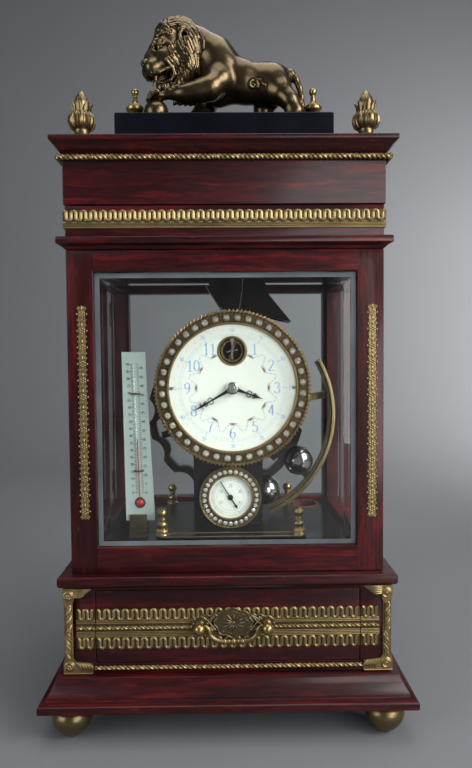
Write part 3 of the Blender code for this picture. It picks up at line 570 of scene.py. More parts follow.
def add_rope(bm, start, end, radius, pitch, strands=2, swell=1.0):
    """Twisted strands laid along a straight line."""
    start, end = Vector(start), Vector(end)
    length = (end - start).length
    along = (end - start).normalized()
    first = along.orthogonal().normalized()
    second = along.cross(first)
    count = max(8, int(10 * length / pitch))
    for strand in range(strands):
        path, radii = [], []
        for i in range(count + 1):
            share = i / count
            angle = 2.0 * math.pi * (share * length / pitch + strand / strands)
            size = radius * (1.0 + (swell - 1.0) * math.sin(math.pi * share))
            offset = first * math.cos(angle) + second * math.sin(angle)
            path.append(start.lerp(end, share) + offset * size * 0.46)
            radii.append(size * 0.54)
        add_tube(bm, path, radii, 7)


def add_meander(bm, start, along, length, heights, pitch, radius, outward):
    """Raised cord that loops up and down between two heights, with round swollen turns."""
    start, along = Vector(start), Vector(along)
    low, high = heights
    turns = round(length / pitch)
    steps = 14
    path = []
    for i in range(turns * steps + 1):
        share = i / steps
        level = math.cos(2.0 * math.pi * share)
        shape = math.copysign(abs(level) ** 0.7, level)
        run = length / turns * (share + 0.085 * math.sin(4.0 * math.pi * share))
        point = start + along * run
        point.z = (low + high) / 2.0 + (high - low) / 2.0 * shape
        path.append(point)
    add_tube(bm, path, radius, 6, outward, 0.9)


def add_scroll(bm, centre, radius, y, cord, start=0.0, hand=1.0, turns=1.6):
    """Spiral cord with a button at its centre, standing on a front face."""
    path = [(u, y, v) for u, v in spiral(centre, radius - cord, turns, start, 30, hand)]
    add_tube(bm, path, [cord * (1.0 - 0.35 * i / 30) for i in range(31)], 6, FRONT)
    add_ball(bm, (centre[0], y - 0.3 * cord, centre[1]), radius * 0.26, (1.0, 0.7, 1.0))


def add_leaf(bm, root, tip, bend, y, width, lift=1.0):
    """Tapered curved lobe on a front face, thickest a third of the way along."""
    root, tip = Vector(root), Vector(tip)
    across = Vector((-(tip - root).y, (tip - root).x))
    path, radii = [], []
    for i in range(11):
        share = i / 10
        point = root.lerp(tip, share) + across * bend * math.sin(math.pi * share)
        path.append((point.x, y - lift * math.sin(math.pi * min(1.0, share * 1.2)), point.y))
        radii.append(width * (0.35 + 0.65 * math.sin(math.pi * (0.12 + 0.80 * share))))
    add_tube(bm, path, radii, 7, FRONT, 0.75)


def build_frieze_band():
    """Stamped strip on three sides: a looping cord over a reeded border."""
    low, high = box_of("frieze_band")
    case_low, case_high = box_of("frieze_frame")
    ground, bm = bmesh.new(), bmesh.new()
    section = [(0.3, low.z + 5.0), (0.9, low.z + 5.0), (0.9, high.z - 0.5), (0.3, high.z - 0.5)]
    add_wrapped(ground, section, case_high.x, case_low.y, high.y)
    piece("frieze_ground", ground, BAND_GROUND)
    section = [(0.3, low.z), (1.3, low.z), (1.5, low.z + 0.8), (1.1, low.z + 1.3)]
    for i in range(3):
        section += shifted([(1.1, 0.0), (1.55, 0.45), (1.1, 0.9)], 0.0, low.z + 1.5 + 1.3 * i)
    section += [(0.9, low.z + 5.6), (0.3, low.z + 5.6)]
    add_wrapped(bm, section, case_high.x, case_low.y, high.y)
    front = low.y + 0.85
    span = (low.z + 6.9, high.z - 1.5)
    start = (low.x + 1.4, front, 0.0)
    add_meander(bm, start, (1.0, 0.0, 0.0), high.x - low.x - 2.8, span, FRIEZE_PITCH, 1.5, FRONT)
    for x, side in ((low.x, -1), (high.x, 1)):
        start, out = (x - side * 0.85, low.y + 1.4, 0.0), (side, 0.0, 0.0)
        add_meander(bm, start, (0.0, 1.0, 0.0), high.y - low.y - 2.8, span, FRIEZE_PITCH, 1.5, out)
    for x in (low.x + 20.0, low.x + 145.0, high.x - 26.0):
        add_ball(bm, (x, front - 0.5, low.z + 6.4), 1.0, detail=1)
    piece("frieze_strip", bm, BAND_BRASS, replaces=("frieze_band",))


def add_drawer_strip(bm, x0, x1, face, low, high):
    """Length of the drawer's border: two rows of loops either side of reeds and a rope."""
    back = face + 1.2
    row = 0.27 * (high - low)
    middle = (low + high) / 2.0 + 1.0
    for offset in (-8.2, -6.8, -5.4, -4.0, 4.0, 5.4, 6.8):
        path = [(x0, back - 0.5, middle + offset), (x1, back - 0.5, middle + offset)]
        add_tube(bm, path, 0.62, 6, FRONT)
    rope = ((x0 + 0.2, back - 0.9, middle), (x1 - 0.2, back - 0.9, middle))
    add_rope(bm, rope[0], rope[1], 1.7, 7.6)
    length = x1 - x0 - 2.6
    start = (x0 + 1.3, back - 0.7, 0.0)
    for span in ((low + 1.3, low + row), (high - row, high - 1.3)):
        add_meander(bm, start, (1.0, 0.0, 0.0), length, span, DRAWER_PITCH, 1.48, FRONT)


def build_drawer_bands():
    """The drawer's strip and the short ends of the same strip on the case."""
    low, high = box_of("drawer_band")
    carcass_low, _ = box_of("drawer_carcass")
    mount_low, _ = box_of("corner_mount_right")
    edge, end = high.x + 0.8, mount_low.x + 15.0
    for name, body, x0, x1, face, stood_for in (
        ("drawer", "drawer", low.x, high.x, low.y + 0.1, ("drawer_band",)),
        ("case_left", "case", -end, -edge, carcass_low.y - 1.3, ()),
        ("case_right", "case", edge, end, carcass_low.y - 1.3, ()),
    ):
        bm = bmesh.new()
        add_box(bm, (x0, face + 0.7, low.z + 0.8), (x1, face + 1.2, high.z - 0.8))
        piece(f"{name}_ground", bm, BAND_GROUND, body, "brass")
        bm = bmesh.new()
        add_drawer_strip(bm, x0, x1, face, low.z, high.z)
        piece(f"{name}_strip", bm, BAND_BRASS, body, "brass", stood_for)


def build_ropes():
    """Twisted cords under the cornice and under the drawer, with the pins that hold them."""
    low, high = box_of("lid_rope")
    radius = (high.z - low.z) / 2.0
    z = low.z + radius
    left, right, front = low.x + radius, high.x - radius, low.y + radius
    bm = bmesh.new()
    for start, end in (
        ((left - 1.0, front, z), (right + 1.0, front, z)),
        ((left, front, z), (left, high.y, z)),
        ((right, front, z), (right, high.y, z)),
    ):
        add_rope(bm, start, end, radius, ROPE_PITCH)
    for x in (left + 30.0, -8.0, right - 30.0):
        add_ball(bm, (x, front - 0.3, z - 0.8), 1.7, (1.0, 1.5, 1.0))
    piece("cornice_rope", bm, BAND_BRASS, "lid", replaces=("lid_rope",))
    low, high = box_of("lower_rope")
    y, z = (low.y + high.y) / 2.0, (low.z + high.z) / 2.0
    bm = bmesh.new()
    add_rope(bm, (low.x, y, z), (high.x, y, z), (high.z - low.z) / 2.0, ROPE_PITCH)
    piece("drawer_rope", bm, BAND_BRASS, replaces=("lower_rope",))


def build_stile_strips():
    """Narrow pierced strips of flowers and curls on the front stiles."""
    for name in ("left", "right"):
        low, high = box_of(f"stile_strip_{name}")
        middle, half = (low.x + high.x) / 2.0, (high.x - low.x) / 2.0
        back, face = high.y, low.y + 0.3
        count = round((high.z - low.z) / STRIP_PERIOD)
        step = (high.z - low.z) / count
        bm = bmesh.new()
        reach = half * 0.62
        add_box(bm, (middle - reach, back - 0.7, low.z + 0.6), (middle + reach, back, high.z - 0.6))
        for i in range(count):
            z = low.z + step * (i + 0.5)
            for k in range(6):
                angle = math.radians(60.0 * k + 30.0)
                place = (middle + 2.1 * math.cos(angle), face + 0.5, z + 2.1 * math.sin(angle))
                add_ball(bm, place, 1.15, (1.0, 0.6, 1.0), 1)
            add_ball(bm, (middle, face + 0.4, z), 1.0, (1.0, 0.8, 1.0), 1)
            for side in (-1, 1):
                for lean in (-1, 1):
                    centre = (middle + side * (half - 1.7), z + lean * step * 0.36)
                    start = math.radians(90.0 if lean > 0 else -90.0)
                    curl = spiral(centre, 1.45, 1.1, start, 12, side * lean)
                    add_tube(bm, [(u, face + 0.7, v) for u, v in curl], 0.5, 5, FRONT)
                root = (middle, z + side * 3.0)
                add_leaf(bm, root, (middle, z + side * step * 0.52), 0.0, face + 0.8, 0.9, 0.4)
                edge = middle + side * (half - 0.7)
                add_ball(bm, (edge, face + 0.9, z), 0.9, (0.9, 0.6, 1.3), 1)
        piece(f"stile_filigree_{name}", bm, BAND_BRASS, replaces=(f"stile_strip_{name}",))


def build_corner_mounts():
    """Cast corners of the drawer case: a twisted leaf column between two scrolls."""
    for name, side in (("left", -1), ("right", 1)):
        low, high = box_of(f"corner_mount_{name}")
        back, face = high.y, low.y + 1.3
        outer = high.x if side > 0 else low.x

        def across(u):
            return outer - side * u

        bm = bmesh.new()
        outline = [(0.8, 0.6), (27.0, 0.6), (27.4, 5.0), (26.0, 9.8), (11.5, 11.4), (9.4, 15.0)]
        outline += [(9.4, 63.0), (11.0, 68.0), (13.0, 70.5), (20.0, 72.5), (24.0, 76.9)]
        outline += [(0.8, 76.9), (0.8, 67.0), (2.6, 62.0), (2.6, 16.0), (0.8, 11.0)]
        add_plate(bm, [(across(u), low.z + v) for u, v in outline], back - 1.1, back)
        column = across(6.0)
        for start, end, pitch in ((38.0, 62.0, 16.0), (39.0, 15.0, -16.0)):
            foot, head = ((column, face + 0.5, low.z + v) for v in (start, end))
            add_rope(bm, foot, head, 2.9, pitch, 4, 1.15)
        add_ball(bm, (column, face, low.z + 38.5), 2.6, (1.0, 0.8, 1.0))
        for edge in (2.9, 9.0):
            path = [(across(edge), back - 1.2, low.z + v) for v in (14.0, 64.0)]
            add_tube(bm, path, 0.7, 6, FRONT)
        for height in (7.2, 70.4):
            centre = (across(6.2), low.z + height)
            add_scroll(bm, centre, 5.4, face + 0.4, 1.25, math.radians(200.0), side, 1.5)
            add_ball(bm, (centre[0], face + 1.6, centre[1]), 5.6, (1.0, 0.35, 1.0))
        for i in range(5):
            root = (across(10.5), low.z + 75.8 - 1.5 * i)
            tip = (across(26.4 - 1.3 * i), low.z + 76.2 - 0.9 * i)
            add_leaf(bm, root, tip, side * 0.03 * i, face + 0.9, 1.2, 0.8)
        for i in range(5):
            root = (across(12.0 + 2.6 * i), low.z + 10.4 - 0.3 * i)
            tip = (across(15.6 + 2.6 * i), low.z + 1.4)
            add_leaf(bm, root, tip, side * -0.24, face + 0.9, 1.35, 0.9)
        path = [(across(u), back - 1.2, low.z + 0.9) for u in (1.0, 26.0)]
        add_tube(bm, path, 0.8, 6, FRONT)
        piece(f"corner_casting_{name}", bm, BAND_BRASS, replaces=(f"corner_mount_{name}",))


def build_pull():
    """Pierced backplate, its two ball posts, and the beaded bail."""
    low, high = box_of("handle_plate")
    x = (low.x + high.x) / 2.0
    post_z = PULL_POST_Z
    z = (low.z + high.z) / 2.0
    back = high.y
    face = back - 1.6
    bm = bmesh.new()
    rim = []
    for i in range(96):
        angle = 2.0 * math.pi * i / 96
        lobes = 1.0 + 0.055 * math.cos(8.0 * angle)
        rim.append((x + 16.2 * lobes * math.cos(angle), z + 12.6 * lobes * math.sin(angle)))
    add_plate(bm, rim, face + 0.3, back, 0.5)
    add_tube(bm, [(u, face + 0.1, v) for u, v in rim], 0.75, 6, FRONT, 1.0, True)
    inner = [(x + (u - x) * 0.78, z + (v - z) * 0.78) for u, v in rim]
    add_tube(bm, [(u, face + 0.2, v) for u, v in inner], 0.4, 5, FRONT, 1.0, True)
    for k in range(12):
        angle = math.radians(30.0 * k)
        direction = Vector((math.cos(angle), math.sin(angle)))
        root = Vector((x, z)) + direction * 1.4
        tip = Vector((x, z)) + Vector((direction.x * 10.4, direction.y * 8.0))
        add_leaf(bm, root, tip, 0.0, face + 0.1, 1.0, 0.5)
    add_ball(bm, (x, face - 0.2, z), 1.9, (1.0, 0.7, 1.0))
    for side in (-1, 1):
        post = x + side * PULL_HALF_SPAN
        add_lathe(bm, [(0.2, face), (6.4, face + 0.1), (7.2, face + 0.8), (7.2, back), (0.2, back)],
                  28, (post, post_z + 0.8), "y")
        for k in range(10):
            angle = math.radians(36.0 * k)
            place = (post + 6.2 * math.cos(angle), face, post_z + 0.8 + 6.2 * math.sin(angle))
            add_ball(bm, place, 1.1, (1.0, 0.7, 1.0), 1)
        for sway in (-1, 1):
            for start, end in (((15.0, 7.5), (23.5, -2.0)), ((15.5, -6.5), (23.5, 3.0))):
                first = (x + side * start[0], face + 0.6, z + start[1])
                last = (x + side * end[0], face + 0.6, z + end[1] * sway)
                add_tube(bm, [first, last], 0.8, 6, FRONT)
        for height in (6.4, -5.8):
            path = []
            for i in range(13):
                share = i / 12
                wave = 1.6 * abs(math.sin(2.0 * math.pi * share))
                path.append((x + side * (14.0 + 13.0 * share), face + 0.5,
                             z + (height + math.copysign(wave, height)) * (1.0 - 0.15 * share)))
            add_tube(bm, path, 0.95, 6, FRONT)
    piece("pull_plate", bm, DARK_BRASS, "drawer", replaces=("handle_plate",))
    bm = bmesh.new()
    knob = [(0.2, 0.0), (2.4, 0.5), (4.3, 2.0), (5.2, 4.2), (4.9, 6.2), (3.6, 7.8), (2.6, 8.4)]
    knob = shifted(knob, 0.0, low.y) + [(2.6, back - 2.2), (4.0, back - 1.8), (4.0, back - 1.2)]
    for side in (-1, 1):
        add_lathe(bm, knob, 28, (x + side * PULL_HALF_SPAN, post_z), "y")
    piece("pull_posts", bm, PALE_BRASS, "drawer")
    low, high = box_of("bail_handle")
    y = (low.y + high.y) / 2.0
    bm = bmesh.new()
    knots = [(26.3, 0.0), (24.2, -0.1), (21.6, -2.8), (20.4, -7.4), (16.4, -11.2), (11.0, -13.0)]
    arm = rounded(knots + [(5.0, -13.4), (0.05, -13.4)], 4)
    path = [(x - u, y, post_z + v) for u, v in arm]
    path += [(x + u, y, post_z + v) for u, v in arm[-2::-1]]
    radii = []
    for i in range(len(path)):
        inward = 1.0 - abs(2.0 * i / (len(path) - 1) - 1.0)
        radii.append(1.2 + 1.1 * math.sin(0.9 * math.pi * inward**0.7))
    add_tube(bm, path, radii, 10, FRONT)
    for u, size in ((-7.8, 2.7), (-4.0, 2.0), (0.0, 3.1), (4.0, 2.0), (7.8, 2.7)):
        add_ball(bm, (x + u, y, post_z - 13.4), size, (0.9, 1.0, 1.1))
    piece("bail", bm, CAST_BRASS, "bail", replaces=("bail_handle",))


# ---- turned work ---------------------------------------------------------------------------------
def rounded(knots, steps=5):
    """Smooth curve through knots of (radius, position)."""
    points = []
    for i in range(len(knots) - 1):
        before = Vector(knots[max(i - 1, 0)])
        start, end = Vector(knots[i]), Vector(knots[i + 1])
        after = Vector(knots[min(i + 2, len(knots) - 1)])
        for k in range(steps):
            t = k / steps
            point = start * 2.0 + (end - before) * t
            point += (before * 2.0 - start * 5.0 + end * 4.0 - after) * t**2
            point += (start * 3.0 - before - end * 3.0 + after) * t**3
            points.append((max(0.05, point.x / 2.0), point.y / 2.0))
    return points + [tuple(knots[-1])]


def build_feet():
    knots = [(0.3, 0.0), (3.5, 0.25), (7.0, 2.0), (11.0, 5.4), (14.6, 9.6), (17.1, 14.6)]
    knots += [(17.7, 20.0), (15.6, 25.0), (12.4, 27.6), (11.8, 29.0), (12.6, 30.7)]
    for corner in CORNERS:
        node = f"foot_{corner}"
        turned_piece(
            f"bun_{node}", rounded(knots), 48, middle_of(node), AGED_BRASS, replaces=(node,)
        )


def build_bell_finials():
    knots = [(0.3, 0.0), (8.0, 0.0), (8.5, 1.4), (8.0, 3.0), (5.2, 4.6), (4.6, 6.2), (4.7, 9.0)]
    knots += [(6.4, 12.4), (8.9, 15.0), (9.3, 17.2), (9.3, 18.0), (7.2, 18.6), (7.4, 19.8)]
    knots += [(4.6, 21.4), (3.1, 23.4), (2.4, 27.6), (2.2, 29.8), (3.0, 31.0), (3.9, 33.4)]
    knots += [(3.4, 36.2), (0.3, 37.9)]
    for side in ("left", "right"):
        node = f"bell_finial_{side}"
        profile = shifted(rounded(knots), 0.0, box_of(node)[0].z)
        turned_piece(
            f"bell_{side}", profile, 40, middle_of(node), PALE_BRASS, body="lid", replaces=(node,)
        )


def around(centre, radius, degrees, height):
    angle = math.radians(degrees)
    return (centre.x + radius * math.cos(angle), centre.y + radius * math.sin(angle), height)


def build_pinecones():
    """Leafy finials: a ribbed cup on a plain neck, a ring of curled leaves and a closed bud."""
    knots = [(0.3, 0.0), (8.8, 0.0), (9.2, 1.2), (7.4, 2.4), (6.6, 4.4), (6.5, 8.0), (8.6, 9.6)]
    knots += [(10.4, 13.0), (10.4, 17.0), (9.4, 20.4), (7.2, 22.8), (6.0, 25.0), (6.0, 29.0)]
    knots += [(5.2, 34.0), (3.8, 38.0), (1.8, 40.8), (0.3, 42.0)]
    rib = ((7.8, 9.0, 1.0), (9.6, 11.0, 1.6), (10.5, 14.4, 1.8))
    rib += ((10.2, 17.8, 1.7), (8.8, 20.8, 1.4), (7.4, 22.8, 0.8))
    curled = ((6.2, 22.0, 2.2), (6.9, 25.6, 2.7), (7.6, 28.6, 2.2), (9.4, 30.8, 1.0))
    closed = ((4.9, 26.0, 2.4), (5.0, 30.0, 2.9), (4.2, 34.6, 2.5), (1.6, 39.8, 1.2))
    for corner in CORNERS:
        node = f"pinecone_{corner}"
        base, centre = box_of(node)[0].z, middle_of(node)
        bm = bmesh.new()
        add_lathe(bm, shifted(rounded(knots, 3), 0.0, base), 32, centre)
        for k in range(14):
            path = [around(centre, r, 360.0 * k / 14, base + h) for r, h, _ in rib]
            add_tube(bm, path, [size for _, _, size in rib], 7)
        for count, twist, leaf in ((7, 10.0, curled), (6, 40.0, closed)):
            for k in range(count):
                turn = twist + 360.0 * k / count
                path = [around(centre, r, turn, base + h) for r, h, _ in leaf]
                out = Vector(path[0]) - Vector((centre.x, centre.y, path[0][2]))
                add_tube(bm, path, [size for _, _, size in leaf], 8, out, 0.55)
                vein = [around(centre, r + 0.5 * size, turn, base + h) for r, h, size in leaf]
                add_tube(bm, vein, 0.45, 5)
        piece(f"leaf_{node}", bm, AGED_BRASS, "lid", replaces=(node,))


# ---- dials ---------------------------------------------------------------------------------------
def add_ribbon(bm, points, width, y, thickness=0.14, thin=None):
    """Flat band along (x, z) points; with thin given, level stretches are that narrow."""
    points = [Vector(point) for point in points]
    rings = []
    for i, point in enumerate(points):
        along = (points[min(i + 1, len(points) - 1)] - points[max(i - 1, 0)]).normalized()
        size = width[i] if isinstance(width, (list, tuple)) else width
        if thin is not None:
            size = thin + (size - thin) * abs(along.y) ** 1.5
        side = Vector((-along.y, along.x)) * size / 2.0
        left, right = point + side, point - side
        rings.append([(left.x, y, left.y), (right.x, y, right.y),
                      (right.x, y + thickness, right.y), (left.x, y + thickness, left.y)])
    add_rings(bm, rings)


def bow(cx, cz, rx, rz, start, end, steps=16):
    """Part of an ellipse between two angles in degrees."""
    points = []
    for i in range(steps + 1):
        angle = math.radians(start + (end - start) * i / steps)
        points.append((cx + rx * math.cos(angle), cz + rz * math.sin(angle)))
    return points


FIGURES = {
    "0": [bow(0.28, 0.5, 0.22, 0.46, 90, 450, 24)],
    "1": [[(0.12, 0.80), (0.29, 0.97), (0.29, 0.5), (0.29, 0.02)], [(0.12, 0.02), (0.46, 0.02)]],
    "2": [
        bow(0.27, 0.73, 0.20, 0.24, 170, -35) + [(0.22, 0.25), (0.06, 0.04)],
        [(0.05, 0.04), (0.52, 0.04)],
    ],
    "3": [bow(0.26, 0.74, 0.19, 0.23, 160, -80), bow(0.26, 0.27, 0.23, 0.25, 80, -160)],
    "4": [[(0.38, 0.02), (0.38, 0.97)], [(0.38, 0.97), (0.04, 0.30)], [(0.04, 0.30), (0.54, 0.30)]],
    "5": [
        [(0.48, 0.95), (0.14, 0.95)],
        [(0.14, 0.95), (0.11, 0.54)],
        bow(0.27, 0.32, 0.22, 0.29, 125, -155),
    ],
    "6": [bow(0.28, 0.29, 0.21, 0.27, 90, 450, 20), bow(0.44, 0.36, 0.37, 0.60, 95, 180)],
    "7": [[(0.05, 0.93), (0.50, 0.93)], [(0.50, 0.93), (0.30, 0.45), (0.22, 0.02)]],
    "8": [bow(0.28, 0.75, 0.17, 0.21, 90, 450, 20), bow(0.28, 0.27, 0.22, 0.25, 90, 450, 20)],
    "9": [bow(0.26, 0.70, 0.21, 0.27, 90, 450, 20), bow(0.10, 0.63, 0.37, 0.60, -85, 0)],
}


def add_number(bm, text, centre, height, y, weight=0.16, turn=0.0):
    """Upright figures centred on a place on a dial."""
    advance = 0.58 * height
    left = -advance * len(text) / 2.0
    rotation = Matrix.Rotation(math.radians(turn), 2)
    for number, figure in enumerate(text):
        for stroke in FIGURES[figure]:
            points = []
            for u, v in stroke:
                local = Vector((left + advance * number + u * height, (v - 0.5) * height))
                points.append(Vector(centre) + rotation @ local)
            add_ribbon(bm, points, weight * height, y, 0.14, 0.4 * weight * height)


def clock_point(centre, radius, degrees):
    """Point at an angle measured clockwise from twelve."""
    angle = math.radians(degrees)
    return Vector((centre[0] + radius * math.sin(angle), centre[1] + radius * math.cos(angle)))


def add_circle_line(bm, centre, radius, width, y, steps=96):
    section = [(radius - width / 2, y), (radius + width / 2, y)]
    section += [(radius + width / 2, y + 0.14), (radius - width / 2, y + 0.14)]
    add_lathe(bm, section, steps, centre, "y", True)


def add_stone(bm, centre, radius, y, turn):
    """Round cut stone: a flat table, slanting crown and pointed back."""
    start = len(bm.verts)
    add_lathe(bm, [(0.1 * radius, y - 0.5 * radius), (0.5 * radius, y - 0.5 * radius),
                   (radius, y - 0.05 * radius), (0.1 * radius, y + 0.8 * radius)], 8, centre, "y")
    bm.verts.ensure_lookup_table()
    verts = bm.verts[start:]
    pivot = Vector((centre[0], y, centre[1]))
    bmesh.ops.rotate(bm, cent=pivot, matrix=Matrix.Rotation(turn, 3, "Y"), verts=verts)


def build_stones(name, centre, count, ring, size, offset, y, seed):
    """Ring of set stones with the small claws between them."""
    stones, claws = bmesh.new(), bmesh.new()
    spread = random.Random(seed)
    for k in range(count):
        degrees = 360.0 * (k + offset) / count
        place = clock_point(centre, ring, degrees)
        add_stone(stones, place, size, y, spread.uniform(0.0, math.pi))
        for reach in (-1.05, 1.05):
            for swing in (-1, 1):
                angle = degrees + swing * math.degrees(size * 0.8 / ring)
                claw = clock_point(centre, ring + reach * size * 0.8, angle)
                add_ball(claws, (claw.x, y - 0.1 * size, claw.y), 0.17 * size, detail=1)
        rim = [(size * 0.97, y + 0.3), (size * 1.12, y + 0.3), (size * 1.06, y - 0.05 * size)]
        add_lathe(claws, rim + [(size * 0.99, y - 0.05 * size)], 12, place, "y", True)
    piece(f"{name}_stones", stones, GEM, smooth=5.0)
    piece(f"{name}_claws", claws, BEZEL_BRASS)


def add_beads(bm, centre, count, ring, y, size):
    """Row of small beads round a dial."""
    for k in range(count):
        place = clock_point(centre, ring, 360.0 * k / count)
        add_ball(bm, (place.x, y, place.y), size, detail=1)


def build_main_bezel():
    low, high = box_of("main_bezel")
    centre = DIAL_CENTRE
    front = low.y
    outer = (high.x - low.x) / 2.0
    section = [(-14.8, 5.4), (-14.6, 2.2), (-13.9, 1.4), (-12.7, 1.5), (-12.1, 2.6), (-11.6, 3.6)]
    section += [(-3.4, 3.6), (-3.0, 2.6), (-2.4, 2.0), (-1.4, 2.0), (-1.0, 2.8), (-0.8, 6.5)]
    section = shifted(section + [(-3.5, 8.6), (-8.0, 9.0)], outer, front)
    section += [(outer - 8.0, high.y), (outer - 11.0, high.y), (outer - 11.0, front + 5.4)]
    bm = bmesh.new()
    add_lathe(bm, section, 144, centre, "y", True)
    for k in range(120):
        inside = clock_point(centre, outer - 2.9, 360.0 * k / 120)
        outside = clock_point(centre, outer - 0.1, 360.0 * (k + 0.4) / 120)
        path = [(inside.x, front + 1.5, inside.y), (outside.x, front + 2.2, outside.y)]
        add_tube(bm, path, [0.75, 1.05], 6)
    add_beads(bm, centre, 130, outer - 13.3, front + 1.5, 0.95)
    add_beads(bm, centre, 120, outer - 4.2, front + 3.5, 0.6)
    add_beads(bm, centre, 120, outer - 11.4, front + 3.5, 0.7)
    piece("dial_bezel", bm, BEZEL_BRASS, replaces=("main_bezel",))
    build_stones("dial", centre, STONE_COUNT, outer - 8.0, 3.0, 0.5, front + 1.9, 11)


def build_main_dial():
    """Printed face: blue figures, a minute ladder, and small sprays joined by swags."""
    centre = DIAL_CENTRE
    y = box_of("main_dial")[0].y - 0.1
    blue, gold = bmesh.new(), bmesh.new()
    for hour in range(1, 12):
        add_number(blue, str(hour), clock_point(centre, 44.4, 30.0 * hour), 11.4, y, 0.13)
    pale = bmesh.new()
    for radius in (50.9, 53.2):
        add_circle_line(pale, centre, radius, 0.28, y)
    for minute in range(60):
        inner, outer = (49.9, 54.2) if minute % 5 == 0 else (50.9, 53.2)
        points = [clock_point(centre, radius, 6.0 * minute) for radius in (inner, outer)]
        add_ribbon(pale, points, 0.62 if minute % 5 == 0 else 0.3, y)
    for five in range(12):
        text = str(five * 5 or 60)
        add_number(blue, text, clock_point(centre, 57.6, 30.0 * five), 4.0, y, 0.17)
        for side in (-1, 1):
            dot = clock_point(centre, 57.6, 30.0 * five + side * 9.0)
            add_ribbon(pale, [dot - Vector((0.5, 0.0)), dot + Vector((0.5, 0.0))], 0.9, y)
    for hour in range(1, 12):
        root = clock_point(centre, 34.9, 30.0 * hour)
        outward = (root - Vector(centre)).normalized()
        across = Vector((outward.y, -outward.x))
        for lean in (-84, -56, -28, 0, 28, 56, 84):
            angle = math.radians(lean)
            direction = outward * math.cos(angle) + across * math.sin(angle)
            reach = 3.0 + 1.6 * abs(lean) / 84.0
            path = [root + direction * reach * i / 4 + across * 0.3 * math.sin(i) for i in range(5)]
            add_ribbon(gold, path, [0.2, 0.5, 0.8, 0.5, 0.15], y)
        for swing in (-1, 1):
            path = []
            for i in range(13):
                share = i / 12
                degrees = 30.0 * hour + swing * (4.0 + 11.0 * share)
                radius = 36.2 + 8.5 * math.sin(math.pi * share / 2.0) ** 2
                path.append(clock_point(centre, radius, degrees))
            beside_twelve = (hour, swing) in ((1, -1), (11, 1))
            if 0 < hour + 0.5 * swing < 11.6 and not beside_twelve:
                for i in range(1, 13, 2):
                    add_ribbon(gold, [path[i - 1], path[i]], 0.28, y)
                for i in (3, 6, 9):
                    point = path[i]
                    add_ribbon(pale, [point - across * 0.7, point + across * 0.7], 1.0, y)
    for degrees in (90.0, 270.0):
        place = clock_point(centre, 60.6, degrees)
        stud = [(0.1, -0.9), (1.4, -0.8), (1.8, -0.2), (1.8, 0.1)]
        add_lathe(gold, shifted(stud, 0.0, y), 14, place, "y")
    piece("dial_figures", blue, DIAL_BLUE, "case", "enamel")
    piece("dial_tracks", pale, DIAL_PALE, "case", "enamel")
    piece("dial_garlands", gold, DIAL_GOLD, "case", "enamel")
    section = [(12.4, 5.5), (12.5, -0.6), (13.2, -1.3), (14.2, -1.2), (14.9, -0.3), (14.9, 0.1)]
    section = shifted(section + [(13.4, 0.1), (13.4, 5.5)], 0.0, y)
    turned_piece("aperture_ring", section, 64, BALANCE_CENTRE, RAIL_BRASS, "y", True)


def build_balance_bridge():
    """Cock and jewel in front of the balance."""
    x, z = BALANCE_CENTRE
    y = box_of("balance_wheel")[0].y - 1.1
    bm = bmesh.new()
    for points, width in (
        ([(x, z + 13.6), (x, z + 8.0), (x + 0.2, z + 3.0), (x, z)], [4.6, 2.6, 1.8, 3.0]),
        ([(x, z), (x - 0.2, z - 4.0), (x, z - 8.6)], [3.0, 1.6, 2.4]),
        ([(x - 5.4, z - 1.0), (x, z), (x + 5.4, z + 1.0)], [1.0, 1.8, 1.0]),
    ):
        add_ribbon(bm, points, width, y, 0.9)
    jewel = [(0.2, -0.9), (1.3, -0.9), (1.7, -0.3), (2.1, 0.0), (2.1, 0.9), (0.2, 0.9)]
    add_lathe(bm, shifted(jewel, 0.0, y), 24, BALANCE_CENTRE, "y")
    piece("balance_cock", bm, NICKEL, "case", "steel")


